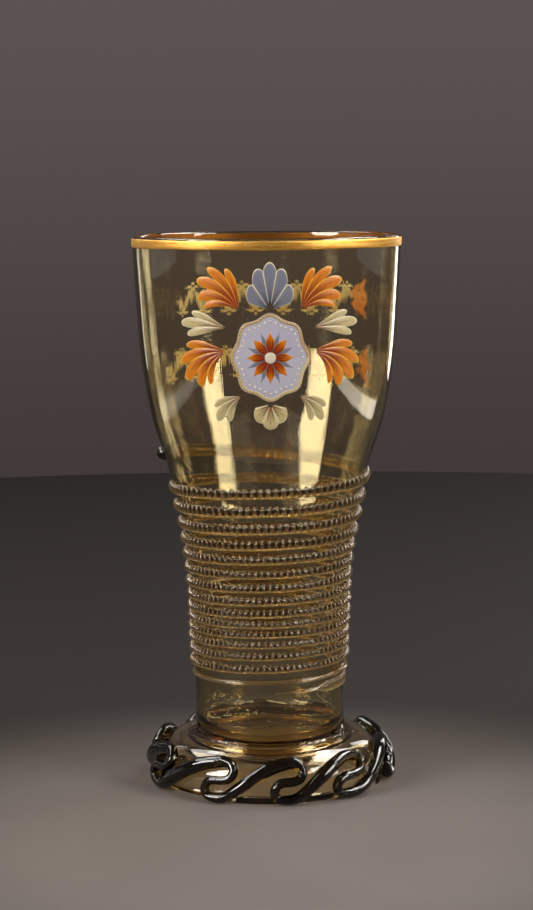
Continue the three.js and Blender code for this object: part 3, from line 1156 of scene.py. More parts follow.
@dataclass
class Cup:
    """The blown cup: a cylinder that flares to the bowl, with a dished floor."""

    wall: Wall
    segments: int = 256
    outside_rings: int = 120
    inside_rings: int = 110
    base_rings: int = 27
    base_edge: tuple[Pair, ...] = ((26.9, 0.0), (27.4, 0.15), (27.65, 0.5))
    floor: float = 17.0
    floor_top: float = 20.0
    floor_rings: int = 30
    dish: float = 0.3
    corner: float = 8.0
    corner_steps: int = 18
    lip_steps: int = 10
    swells: tuple[Wave, ...] = (Wave(0.05, 3, lean=1 / 21), Wave(0.03, 5, 1, -1 / 13))
    drawn_lines: tuple[SwayingWave, ...] = (
        SwayingWave(0.014, 17, Wave(0.9, 1 / 12)),
        SwayingWave(0.008, 41, Wave(1.3, 1 / 17, 2)),
    )
    outer_swell: float = 0.35
    outer_lines: float = 0.25
    steady_height: Pair = (26, 34)
    steady_radius: Pair = (22, 26)
    froth_turn: float = 110.0
    froth_spread: float = 24.0
    froth_ring: tuple[Pair, Pair] = ((18.5, 20.5), (23, 24.5))
    froth_top: float = 25.0
    froth_depth: float = 0.45
    froth_edge: float = 0.4
    pontil_radius: float = 8.5
    pontil_edge: float = 2.0
    pontil_depth: float = 0.35
    pontil_lift: float = 0.3
    rough: tuple[SwayingWave, SwayingWave] = (
        SwayingWave(1, 2.1, Wave(1.7, 1.3)),
        SwayingWave(1, 1.9, Wave(1.4, 1.1)),
    )
    floor_swells: tuple[Wave, Wave] = (Wave(0.1, 0.35, 1), Wave(1, 0.3))

    def outline(self) -> tuple[np.ndarray, np.ndarray]:
        """The cup's section.

        Returns:
            Radius and height of each ring, and how far each lies inside, 0 or 1.
        """
        under = [(r, 0.0) for r in range(self.base_rings)]
        low = np.array(under + list(self.base_edge)) + [0, CUP_BASE]
        half = self.wall.at_rim / 2
        top = HEIGHT - half
        z = np.linspace(CUP_BASE + 1, top, self.outside_rings)
        outside = np.stack([self.wall.radius(z), z], -1)
        lip = arc((outside[-1, 0] - half, top), (half, half), 0, np.pi, self.lip_steps + 2)[1:-1]
        lowest = self.floor + self.corner
        z = np.linspace(top, lowest, self.inside_rings)
        inside = np.stack([self.wall.radius(z) - self.wall.thickness(z), z], -1)
        centre = inside[-1, 0] - self.corner
        radii = (self.corner, -self.corner)
        corner = arc((centre, lowest), radii, 0, np.pi / 2, self.corner_steps + 1)[1:]
        r = np.linspace(centre, 0, self.floor_rings)[1:]
        dished = np.stack([r, self.floor - self.dish * (1 - (r / centre) ** 2)], -1)
        rows = np.vstack([low, outside, lip, inside, corner, dished])
        inner = np.zeros(len(rows))
        inner[len(low) + len(outside) + len(lip) :] = 1
        return rows, inner

    def ripple(self, rows: np.ndarray, inner: np.ndarray) -> np.ndarray:
        """Slight unevenness of hand-blown glass, stronger inside.

        Args:
            rows: The outline.
            inner: 1 for the rings inside, 0 for those outside.

        Returns:
            What is added to radius and height, as rings by segments by 2.
        """
        angle = even_angles(self.segments)
        r, z, inner = rows[:, 0:1], rows[:, 1:2], inner[:, None]
        wide = uneven(self.swells, angle, z)
        drawn = uneven(self.drawn_lines, angle, z)
        shake = wide * (self.outer_swell + inner) + drawn * (self.outer_lines + inner)
        steady = smoothstep(z, *self.steady_height) * smoothstep(r, *self.steady_radius)
        return np.stack([shake * steady, self.floor_ripple(r, z, angle, inner)], -1)

    def floor_ripple(
        self, r: np.ndarray, z: np.ndarray, angle: np.ndarray, inner: np.ndarray
    ) -> np.ndarray:
        """Froth and swells of the floor and the pontil's rough mark under it.

        Args:
            r: Radius of each ring, as a column.
            z: Height of each ring, as a column.
            angle: Angle of each segment.
            inner: 1 for the rings inside, 0 for those outside, as a column.

        Returns:
            What is added to the height, as rings by segments.
        """
        x, y = r * np.cos(angle), r * np.sin(angle)
        rough = self.rough[0].at(x, y) * self.rough[1].at(y, x)
        away = np.abs(np.degrees(angle) - self.froth_turn) / self.froth_spread
        start, end = self.froth_ring
        ring = smoothstep(r, *start) * (1 - smoothstep(r, *end)) * (z < self.froth_top)
        froth = self.froth_depth * rough * smoothstep(1 - away, 0, self.froth_edge) * ring
        swell = self.floor_swells[0].at(x) * self.floor_swells[1].at(y) * (z < self.floor_top)
        mark = smoothstep(self.pontil_radius - r, 0, self.pontil_edge)
        pontil = self.pontil_depth * (rough + self.pontil_lift) * mark
        return (froth + swell) * inner + pontil * np.isclose(z, CUP_BASE)

    def build(self, shop: Workshop) -> None:
        """Makes the cup.

        Args:
            shop: Where it is made.
        """
        rows, inner = self.outline()
        body = turned(rows, self.segments, self.ripple(rows, inner))
        shop.piece("blown_cup", body, CLEAR_GLASS, ["cup"])


@dataclass(frozen=True)
class FootShape:
    """Dome and skirt of the foot, measured down its outside from its shoulder."""

    radius: float = 42.3
    shoulder_radius: float = 30.0
    shoulder_height: float = 17.5
    skirt_height: float = 3.7
    line_steps: int = 200
    slope_step: float = 0.05
    last_share: float = 0.999

    def dome(self, inset: float, start: float, end: float, steps: int) -> np.ndarray:
        """Quarter of an ellipse from the shoulder to the skirt.

        Args:
            inset: How far it lies inside the foot's outside.
            start: Angle of its first point, in radians.
            end: Angle of its last point.
            steps: How many points it has.

        Returns:
            Radius and height of each point.
        """
        wide = self.radius - inset - self.shoulder_radius
        tall = self.shoulder_height - self.skirt_height - inset
        return arc((self.shoulder_radius, self.skirt_height), (wide, tall), start, end, steps)

    def line(self) -> np.ndarray:
        """Radius and height down the outside, from the shoulder to the table."""
        dome = self.dome(0, np.pi / 2, 0, self.line_steps)
        return np.vstack([dome, [[self.radius, 0.0]]])

    def place(self, down: np.ndarray) -> tuple[np.ndarray, np.ndarray]:
        """Places down the outside and the way out from them.

        Args:
            down: Distances from the shoulder.

        Returns:
            Radius and height of each place, and its outward direction.
        """
        line = self.line()
        run = np.concatenate([[0], np.cumsum(np.hypot(*np.diff(line, axis=0).T))])
        down = np.clip(down, 0, run[-1] * self.last_share)
        spot, ahead = (
            np.stack([np.interp(down + step, run, line[:, k]) for k in (0, 1)], -1)
            for step in (0, self.slope_step)
        )
        slope = ahead - spot
        slope /= np.linalg.norm(slope, axis=-1, keepdims=True)
        outward = np.stack([-slope[:, 1], slope[:, 0]], -1)
        return spot, outward


@dataclass
class Foot:
    """Applied foot: a hollow dome of glass round the base of the cup, open underneath.

    The marks of its lip are measured from the collar and the shoulder's height,
    those of its skirt from its edge and those of its resting ring from its inside.
    """

    shape: FootShape
    segments: int = 256
    collar: float = 27.55
    collar_low: float = 15.6
    rest_outer: float = 41.6
    thickness: float = 3.5
    seam: float = 28.6
    seam_half: float = 0.8
    crease_margin: float = 0.5
    collar_margin: float = 0.1
    hollow_steps: int = 40
    lip: tuple[Pair, ...] = (
        (0, -0.3),
        (0, 0.35),
        (0.35, 0.75),
        (0.9, 0.85),
        (1.4, 0.55),
        (1.85, 0.25),
    )
    skirt: tuple[Pair, ...] = ((0, 2.2), (-0.06, 0.8), (-0.25, 0.3))
    ring: tuple[Pair, ...] = ((0.8, 0.0), (0.25, 0.12), (0.05, 0.6))
    line_skip: int = 4
    marks: SwayingWave = SwayingWave(0.16, 47, Wave(2, 5))
    marks_least: float = 0.4
    marks_fade: Wave = Wave(1, 3, 1)
    dome_start: Pair = (30, 33)
    dome_end: Pair = (2.5, 6)
    swells: tuple[Wave, ...] = (Wave(0.12, 4, lean=1 / 3), Wave(0.07, 9, lean=-1 / 2))

    def outline(self) -> np.ndarray:
        """The foot's section, from the collar down its outside and up inside it.

        Returns:
            Radius and height of each ring.
        """
        top = np.array(self.lip) + [self.collar, self.shape.shoulder_height]
        down = self.shape.line()[:: self.line_skip][1:]
        skirt = np.array(self.skirt) + [self.shape.radius, 0]
        rest = [[self.rest_outer, 0.0]]
        ring = np.array(self.ring) + [self.shape.radius - self.thickness, 0]
        hollow = self.shape.dome(self.thickness, 0, np.pi / 2, self.hollow_steps)
        roof = hollow[-1, 1]
        fused = [[self.seam, roof], [self.collar, roof], [self.collar, self.collar_low]]
        return np.vstack([top, down, skirt, rest, ring, hollow, fused])

    def ripple(self, rows: np.ndarray) -> np.ndarray:
        """Tool marks in the crease and swells on the dome.

        Args:
            rows: The outline.

        Returns:
            What is added to radius and height, as rings by segments by 2.
        """
        angle = even_angles(self.segments)
        r, z = rows[:, 0:1], rows[:, 1:2]
        above = z > self.shape.shoulder_height - self.crease_margin
        beyond = r > self.collar + self.collar_margin
        crease = np.exp(-(((r - self.seam) / self.seam_half) ** 2)) * above * beyond
        fade = self.marks_least + (1 - self.marks_least) * self.marks_fade.at(angle) ** 2
        marks = self.marks.at(angle, angle) * fade
        dome = smoothstep(r, *self.dome_start) * smoothstep(z, *self.dome_end)
        return np.stack([uneven(self.swells, angle, z) * dome, marks * crease], -1)

    def build(self, shop: Workshop) -> None:
        """Makes the foot.

        Args:
            shop: Where it is made.
        """
        rows = self.outline()
        body = turned(rows, self.segments, self.ripple(rows))
        shop.piece("domed_foot", body, HEAVY_GLASS, ["foot"])


@dataclass
class MilledThread:
    """Glass thread wound down the waist and notched with a toothed wheel.

    Turns are counted from the torn drop on the left, clockwise from above, and
    the route gives a height for each. A mark of the section is its height and its
    reach, as shares of the thread's, and how much of the notch cuts into it.
    """

    wall: Wall
    route: tuple[tuple[float, float], ...] = (
        (0, 121.0),
        (0.5, 113.0),
        (1, 109.0),
        (1.75, 104.0),
        (3.25, 94.4),
        (5.75, 80.7),
        (8.75, 66.3),
        (11.75, 54.8),
        (13.75, 45.9),
        (14.75, 40.8),
        (15.62, 37.4),
        (15.74, 36.6),
    )
    route_steps: int = 60
    notches: float = 82.4
    steps_per_notch: int = 8
    depth: float = 2.0
    notch_depth: float = 1.3
    notch_edge: float = 1.2
    notch_drop: float = 0.7
    notch_start: Pair = (0.03, 0.06)
    # Paint-map value for the full painted shade of a notch.
    notch_shade_depth: float = 0.4
    half_height: float = 2.2
    narrowing: float = 0.075
    least_half: float = 1.45
    embed: float = 0.15
    drop_depth: float = 3.3
    drop_middle: float = 0.016
    drop_width: float = 0.02
    drop_swell: float = 0.3
    drop_rise: float = 0.008
    drop_least: float = 0.02
    # Up to this turn the torn drop gets the full painted shade.
    drop_shade_end: float = 0.035
    tail_start: float = 14.25
    tail_ease: float = 0.3
    tail_half_height: float = 0.75
    tail_thinning: float = 0.42
    smear_start: float = 15.42
    smear_end: float = 15.63
    smear_ease: Pair = (0.05, 0.02)
    smear_half_height: float = 2.1
    smear_depth: float = 0.55
    smear_roughness: float = 0.5
    end_half_height: float = 0.25
    end_depth: float = 0.15
    drift: tuple[Wave, ...] = (Wave(0.12, 2.3), Wave(0.05, 11))
    height_sway: tuple[Wave, ...] = (Wave(0.04, 5.1), Wave(0.03, 13.7, 1))
    depth_sway: Wave = Wave(0.05, 7.3, 2)
    notch_sway: Wave = Wave(0.15, 3.7)
    scrapes: tuple[Wave, ...] = (Wave(0.25, 260), Wave(0.2, 610, 1))
    section: tuple[tuple[float, float, float], ...] = (
        (-1.04, 0.0, 0.0),
        (-0.94, 0.46, 0.0),
        (-0.62, 0.84, 0.25),
        (-0.14, 1.0, 1.0),
        (0.12, 0.97, 1.0),
        (0.55, 0.8, 1.0),
        (0.84, 0.56, 1.0),
        (1.0, 0.26, 0.8),
        (1.04, 0.0, 0.0),
    )

    def rings(self) -> tuple[np.ndarray, np.ndarray]:
        """The thread's notched sections and their paint map.

        Returns:
            The sections, as rings by points by 3, and for each point how deep in a notch
            and how high on the thread it is, which set its painted shade and painted highlight.
        """
        line = open_curve(self.route, self.route_steps)
        last = self.route[-1][0]
        turn = np.linspace(0, last, int(last * self.notches * self.steps_per_notch))[:, None]
        middle = np.interp(turn, line[:, 0], line[:, 1])
        half, depth, notch = self.sizes(turn)
        wheel = self.notches * turn + uneven(self.drift, turn)
        groove = (0.5 - 0.5 * np.cos(2 * np.pi * wheel)) ** self.notch_edge
        up, out, cut = np.array(self.section).T
        z = middle + half * up - self.notch_drop * (notch * groove) * np.maximum(up, 0) ** 2
        reach = depth * out - notch * groove * cut * out
        r = self.wall.radius(z) + np.maximum(reach, 0) - self.embed * (out == 0)
        rings = about_axis(r, np.pi - 2 * np.pi * turn, z)
        # Paint map: painted shade by notch depth and over the torn drop, and the height for the
        # painted lip highlight.
        deep = np.maximum(groove * notch / self.notch_depth * cut, turn < self.drop_shade_end)
        deep = self.notch_shade_depth * np.clip(deep, 0, 1)
        return rings, np.stack([deep, deep * 0 + up], -1).reshape(-1, 2)

    def sizes(self, turn: np.ndarray) -> tuple[np.ndarray, np.ndarray, np.ndarray]:
        """Half height, depth and notch depth along the thread.

        Args:
            turn: Turns from the drop.

        Returns:
            The three sizes at each turn.
        """
        half = np.maximum(self.half_height - self.narrowing * turn, self.least_half)
        half = half * (1 + uneven(self.height_sway, turn))
        depth = self.depth * (1 + self.depth_sway.at(turn))
        notch = self.notch_depth * (1 + self.notch_sway.at(turn))

        bulge = np.exp(-(((turn - self.drop_middle) / self.drop_width) ** 2))
        start = np.sqrt(np.clip(turn / self.drop_rise, self.drop_least, 1))
        depth = (depth + (self.drop_depth - self.depth) * bulge) * start
        half = (half + self.drop_swell * bulge) * start
        notch = notch * smoothstep(turn, *self.notch_start)

        tail = smoothstep(turn, self.tail_start, self.tail_start + self.tail_ease)
        half = half + (self.tail_half_height - half) * tail
        depth = depth * (1 - self.tail_thinning * tail)
        notch = notch * (1 - tail)

        first, last = self.smear_ease
        smear = smoothstep(turn, self.smear_start, self.smear_start + first)
        smear = smear * (1 - smoothstep(turn, self.smear_end - last, self.smear_end + last))
        scraped = self.smear_roughness * uneven(self.scrapes, turn)
        half = half + (self.smear_half_height + scraped - half) * smear
        depth = depth + (self.smear_depth + scraped - depth) * smear

        left = 1 - smoothstep(turn, self.smear_end, self.route[-1][0])
        half = half * (self.end_half_height + (1 - self.end_half_height) * left)
        return half, depth * (self.end_depth + (1 - self.end_depth) * left), notch

    def build(self, shop: Workshop) -> None:
        """Makes the thread.

        Args:
            shop: Where it is made.
        """
        rings, paint = self.rings()
        body = swept(rings, False)
        body.flat = paint
        shop.piece("notched_thread", body, THREAD_GLASS, ["milled_thread"])


@dataclass
class ScrollTrail:
    """Thick trail of glass laid round the foot in running scrolls.

    Crests are angles from the front, turning to the right. One wave is the
    share of the way to the next crest, the distance down the foot from its
    shoulder and the half width of the trail.
    """

    shape: FootShape
    crests: tuple[float, ...] = (-105, -64, -24, 10, 43, 84, 120, 154, 188, 221)
    wave: tuple[tuple[float, float, float], ...] = (
        (-0.1, 10.75, 2.25),
        (0.02, 10.4, 2.1),
        (0.12, 11.3, 1.82),
        (0.172, 13.5, 1.68),
        (0.12, 15.7, 1.7),
        (0, 16.5, 1.7),
        (-0.115, 16.6, 1.7),
        (-0.21, 17.6, 1.65),
        (-0.25, 19.65, 1.6),
        (-0.205, 21.65, 1.65),
        (-0.085, 22.3, 1.75),
        (0.07, 21.7, 2),
        (0.25, 18.9, 2.3),
        (0.47, 15.2, 2.5),
        (0.7, 12.2, 2.45),
    )
    substeps: int = 7
    sides: int = 18
    high_base: float = 1.5
    high_gain: float = 0.4
    embed: float = 0.25
    sway: tuple[Wave, ...] = (Wave(0.05, 7), Wave(0.04, 23, 1))

    def route(self) -> np.ndarray:
        """The way of the closed trail.

        Returns:
            Angle, distance down the foot and half width of each place on it.
        """
        count = len(self.crests)
        marks = []
        for i in range(-1, count + 1):
            here, ahead = (self.crest(k) for k in (i, i + 1))
            for share, down, half in self.wave:
                marks.append([here + share * (ahead - here), down, half])
        first = len(self.wave)
        marks = marks[first - 1 : first + count * first + 2]
        return catmull(marks, self.substeps)[:-1]

    def crest(self, number: int) -> float:
        """Angle of a crest, counted on round the foot."""
        lap, place = divmod(number, len(self.crests))
        return self.crests[place] + lap * 360

    def build(self, shop: Workshop) -> None:
        """Makes the trail.

        Args:
            shop: Where it is made.
        """
        angle, down, half = self.route().T
        half = half * (1 + uneven(self.sway, even_angles(len(angle))))
        high = self.high_base + self.high_gain * half
        spot, outward = self.shape.place(down)
        spot = spot + outward * (high - self.embed)[:, None]
        turn = np.radians(Side.FRONT.value + angle)
        at = about_axis(spot[:, 0], turn, spot[:, 1])
        out = about_axis(outward[:, 0], turn, outward[:, 1])
        along = np.roll(at, -1, 0) - np.roll(at, 1, 0)
        along /= np.linalg.norm(along, axis=1, keepdims=True)
        across = np.cross(along, out)
        across /= np.linalg.norm(across, axis=1, keepdims=True)
        up = np.cross(across, along)
        around = even_angles(self.sides)
        rings = (
            at[:, None]
            + across[:, None] * (half[:, None] * np.sin(around))[..., None]
            + up[:, None] * (high[:, None] * np.cos(around))[..., None]
        )
        shop.piece("running_scroll", swept(rings, True), SCROLL_GLASS, ["scroll_trail"])


@dataclass
class GiltBand:
    """Gold fired on just under the lip."""

    wall: Wall
    segments: int = 256
    rings: int = 9
    low: float = 197.2
    high: float = 200.35
    lift: float = 0.12
    edge_lift: float = 0.02
    embed: float = 0.03
    sway: tuple[Wave, ...] = (Wave(0.07, 5), Wave(0.042, 13, 1))
    sway_fade: Pair = (1.0, 3.0)

    def build(self, shop: Workshop) -> None:
        """Makes the band, its lower edge swaying where the brush wandered.

        Args:
            shop: Where it is made.
        """
        z = np.linspace(self.low, self.high, self.rings)
        swell = self.lift * np.sin(np.linspace(0, np.pi, self.rings)) ** 0.5
        outer = np.stack([self.wall.radius(z) + self.edge_lift + swell, z], -1)
        inner = np.stack([self.wall.radius(z) - self.embed, z], -1)[::-1]
        rows = np.vstack([outer, inner])
        lower = smoothstep(self.high - rows[:, 1:2], *self.sway_fade)
        sway = uneven(self.sway, even_angles(self.segments)) * lower
        body = turned(rows, self.segments, np.stack([0 * sway, sway], -1))
        shop.piece("gilt_band", body, GOLD, ["gilt_rim_band"])


@dataclass(frozen=True)
class RoundShape:
    """Round or lobed outline: its middle as right and height, its radii and its lobes."""

    centre: Pair
    radii: Pair
    spokes: int
    lobes: int = 0
    wave: float = 0.0


@dataclass(frozen=True)
class Sheet:
    """A side of the cup's wall, as a flat place to lay enamel on."""

    wall: Wall
    side: Side
    under: float = 0.03
    edge_lift: float = 0.02
    leaf_lift: float = 0.03
    leaf_steps: int = 12
    leaf_sweep: float = 0.2
    leaf_sweep_power: float = 1.5
    leaf_swell: float = 0.28
    leaf_swell_power: float = 0.7
    leaf_peak: float = 0.8
    leaf_least_thick: float = 0.6
    disc_hole: float = 0.004
    stroke_columns: int = 5

    def wrap(self, right: np.ndarray, z: np.ndarray, lift: np.ndarray) -> np.ndarray:
        """Puts flat places on the wall.

        Args:
            right: Distance to the right of the side's middle.
            z: Height.
            lift: Distance out from the wall.

        Returns:
            The places in space.
        """
        reach = self.wall.radius(z)
        return about_axis(reach + lift, math.radians(self.side.value) + right / reach, z)

    def layer(
        self,
        right: np.ndarray,
        z: np.ndarray,
        lift: np.ndarray,
        flat: np.ndarray,
        ring: bool = False,
    ) -> Body:
        """Thin closed layer over a net of flat places.

        Args:
            right: Distance to the right, as rows by columns.
            z: Height, as rows by columns.
            lift: Thickness, as rows by columns.
            flat: Coordinates for the paint, as rows by columns by 2.
            ring: True where each row closes on itself.

        Returns:
            The closed body.
        """
        rows, columns = right.shape
        top = self.wrap(right, z, lift).reshape(-1, 3)
        bottom = self.wrap(right, z, np.full_like(z, -self.under)).reshape(-1, 3)
        upper = grid_faces(rows, columns, ring)
        shift = rows * columns
        faces = upper + [[k + shift for k in face[::-1]] for face in upper]
        spans = columns if ring else columns - 1
        end = (rows - 1) * columns
        for j in range(spans):
            k = (j + 1) % columns
            faces.append([k, j, j + shift, k + shift])
            faces.append([end + j, end + k, end + k + shift, end + j + shift])
        if not ring:
            for i in range(rows - 1):
                a, b = i * columns, (i + 1) * columns
                faces.append([a, b, b + shift, a + shift])
                a, b = a + columns - 1, b + columns - 1
                faces.append([b, a, a + shift, b + shift])
        coordinates = np.vstack([flat.reshape(-1, 2)] * 2)
        return Body(np.vstack([top, bottom]), faces, coordinates).faced_out()

    def leaf(
        self,
        rib: Sequence[Sequence[float]],
        half_width: float,
        thick: float,
        root: float = 0.12,
    ) -> Body:
        """Leaf along a bent rib, with bowed sides swept towards its tip.

        Args:
            rib: Four marks of the rib's curve, as right and height.
            half_width: Half the leaf's greatest width.
            thick: Thickness in the middle.
            root: Least half width, as a share.

        Returns:
            The leaf as a thin closed body.
        """
        share = np.linspace(0, 1, self.leaf_steps + 1)[:, None]
        a, b, c, d = (np.array(mark, float) for mark in rib)
        back = 1 - share
        spot = a * back**3 + 3 * b * back**2 * share + 3 * c * back * share**2 + d * share**3
        slope = 3 * ((b - a) * back**2 + 2 * (c - b) * back * share + (d - c) * share**2)
        slope /= np.linalg.norm(slope, axis=1, keepdims=True)
        bow = np.sin(np.pi * share)
        swell = 1 - self.leaf_swell * (1 - np.abs(bow) ** self.leaf_swell_power)
        body = np.maximum(root, np.sin(np.pi * share**self.leaf_peak))
        half = half_width * body * swell
        across = np.linspace(-1, 1, self.leaf_steps + 1)[None, :]
        lean = self.leaf_sweep * half * np.abs(across) ** self.leaf_sweep_power * np.sqrt(bow)
        right = spot[:, 0:1] - slope[:, 1:2] * half * across + slope[:, 0:1] * lean
        z = spot[:, 1:2] + slope[:, 0:1] * half * across + slope[:, 1:2] * lean
        full = self.leaf_least_thick + (1 - self.leaf_least_thick) * body
        lift = self.leaf_lift + thick * (1 - across**4) * full
        flat = np.stack(np.broadcast_arrays(share, across * 0.5 + 0.5), -1)
        return self.layer(right, z, lift, flat)

    def round_layer(
        self,
        shape: RoundShape,
        share: Union[float, np.ndarray],
        aside: Union[float, np.ndarray],
        across: np.ndarray,
        rise: np.ndarray,
    ) -> Body:
        """Thin closed layer over a net of rings.

        Args:
            shape: The outline that the rings follow.
            share: Share of the way out to the outline, ring by ring, as a column.
            aside: Distance beyond that.
            across: The paint's way across, up to 1.
            rise: Thickness above the edge's.

        Returns:
            The closed body.
        """
        angle = even_angles(shape.spokes)[None, :]
        swell = share * (1 + shape.wave * np.cos(shape.lobes * angle))
        right = shape.centre[0] + (shape.radii[0] * swell + aside) * np.cos(angle)
        z = shape.centre[1] + (shape.radii[1] * swell + aside) * np.sin(angle)
        lift = self.edge_lift + rise * np.ones_like(angle)
        flat = np.stack(np.broadcast_arrays(angle / (2 * np.pi), 0.5 + 0.5 * across), -1)
        return self.layer(right, z, lift, flat, True)

    def disc(self, shape: RoundShape, thick: float, rings: int, dome: float = 0.5) -> Body:
        """Round or lobed spot of enamel.

        Args:
            shape: Its outline.
            thick: Thickness in the middle.
            rings: Points from its middle to its edge.
            dome: Power of the dome's fall, low for a flat top.

        Returns:
            The spot as a thin closed body.
        """
        share = np.linspace(self.disc_hole, 1, rings + 1)[:, None]
        rise = thick * np.clip(1 - share**2, 0, 1) ** dome
        return self.round_layer(shape, share, 0.0, share, rise)

    def rope(self, shape: RoundShape, half_width: float, thick: float, rings: int) -> Body:
        """Raised ring of enamel that follows a round or lobed edge.

        Args:
            shape: Its centre line.
            half_width: Half the ring's width.
            thick: Its thickness.
            rings: Points across it.

        Returns:
            The ring as a thin closed body.
        """
        across = np.linspace(-1, 1, rings)[:, None]
        rise = thick * np.sqrt(1 - across**2)
        return self.round_layer(shape, 1.0, half_width * across, across, rise)

    def stroke(self, line: np.ndarray, half: np.ndarray, thick: float) -> Body:
        """Brush stroke along a line of flat places.

        Args:
            line: Right and height of each place.
            half: Half width of the stroke at each place.
            thick: Its thickness.

        Returns:
            The stroke as a thin closed body.
        """
        slope = np.gradient(line, axis=0)
        slope /= np.linalg.norm(slope, axis=1, keepdims=True)
        across = np.linspace(-1, 1, self.stroke_columns)[None, :]
        right = line[:, 0:1] - slope[:, 1:2] * half[:, None] * across
        z = line[:, 1:2] + slope[:, 0:1] * half[:, None] * across
        lift = self.edge_lift + thick * np.sqrt(1 - across**2) * np.ones((len(line), 1))
        share = np.linspace(0, 1, len(line))[:, None]
        flat = np.stack(np.broadcast_arrays(share, across * 0.5 + 0.5), -1)
        return self.layer(right, z, lift, flat)


@dataclass(frozen=True)
class Frond:
    """Spray of lobes; its root is right and height, its angles are in degrees.

    It aims from the right at its root, opens between its outer lobes and bends
    by an angle from root to tip.
    """

    root: Pair
    aim: float
    opening: float
    reach: float
    lobes: int
    bend: float


@dataclass(frozen=True)
class Fan:
    """Upright fan of lobes, which a negative reach opens downwards.

    Its spread is its width as a share of its length.
    """

    base: float
    reach: float
    spread: float
    lobes: int


@dataclass(frozen=True)
class Petals:
    """Ring of petals, turned by a share of a petal; its reach is a share of the rosette's."""

    turn: float
    half_width: float
    reach: float
    thick: float


@dataclass(frozen=True)
class Lobing:
    """Net of a shape with lobes, from its root out and from lobe to lobe."""

    rows: int
    lobe_columns: int
    root: float
    notch: float
    notch_power: float

    def net(self, lobes: int) -> tuple[np.ndarray, np.ndarray, np.ndarray]:
        """The net's rows and columns.

        Args:
            lobes: How many lobes there are.

        Returns:
            Share of the way out as a column, share of the way across as a row,
            and how far each lobe reaches there.
        """
        out = np.linspace(self.root, 1, self.rows)[:, None]
        share = np.linspace(0, 1, lobes * self.lobe_columns + 1)[None, :]
        between = 1 - np.abs(np.sin(lobes * np.pi * share)) ** self.notch_power
        return out, share, 1 - self.notch * between


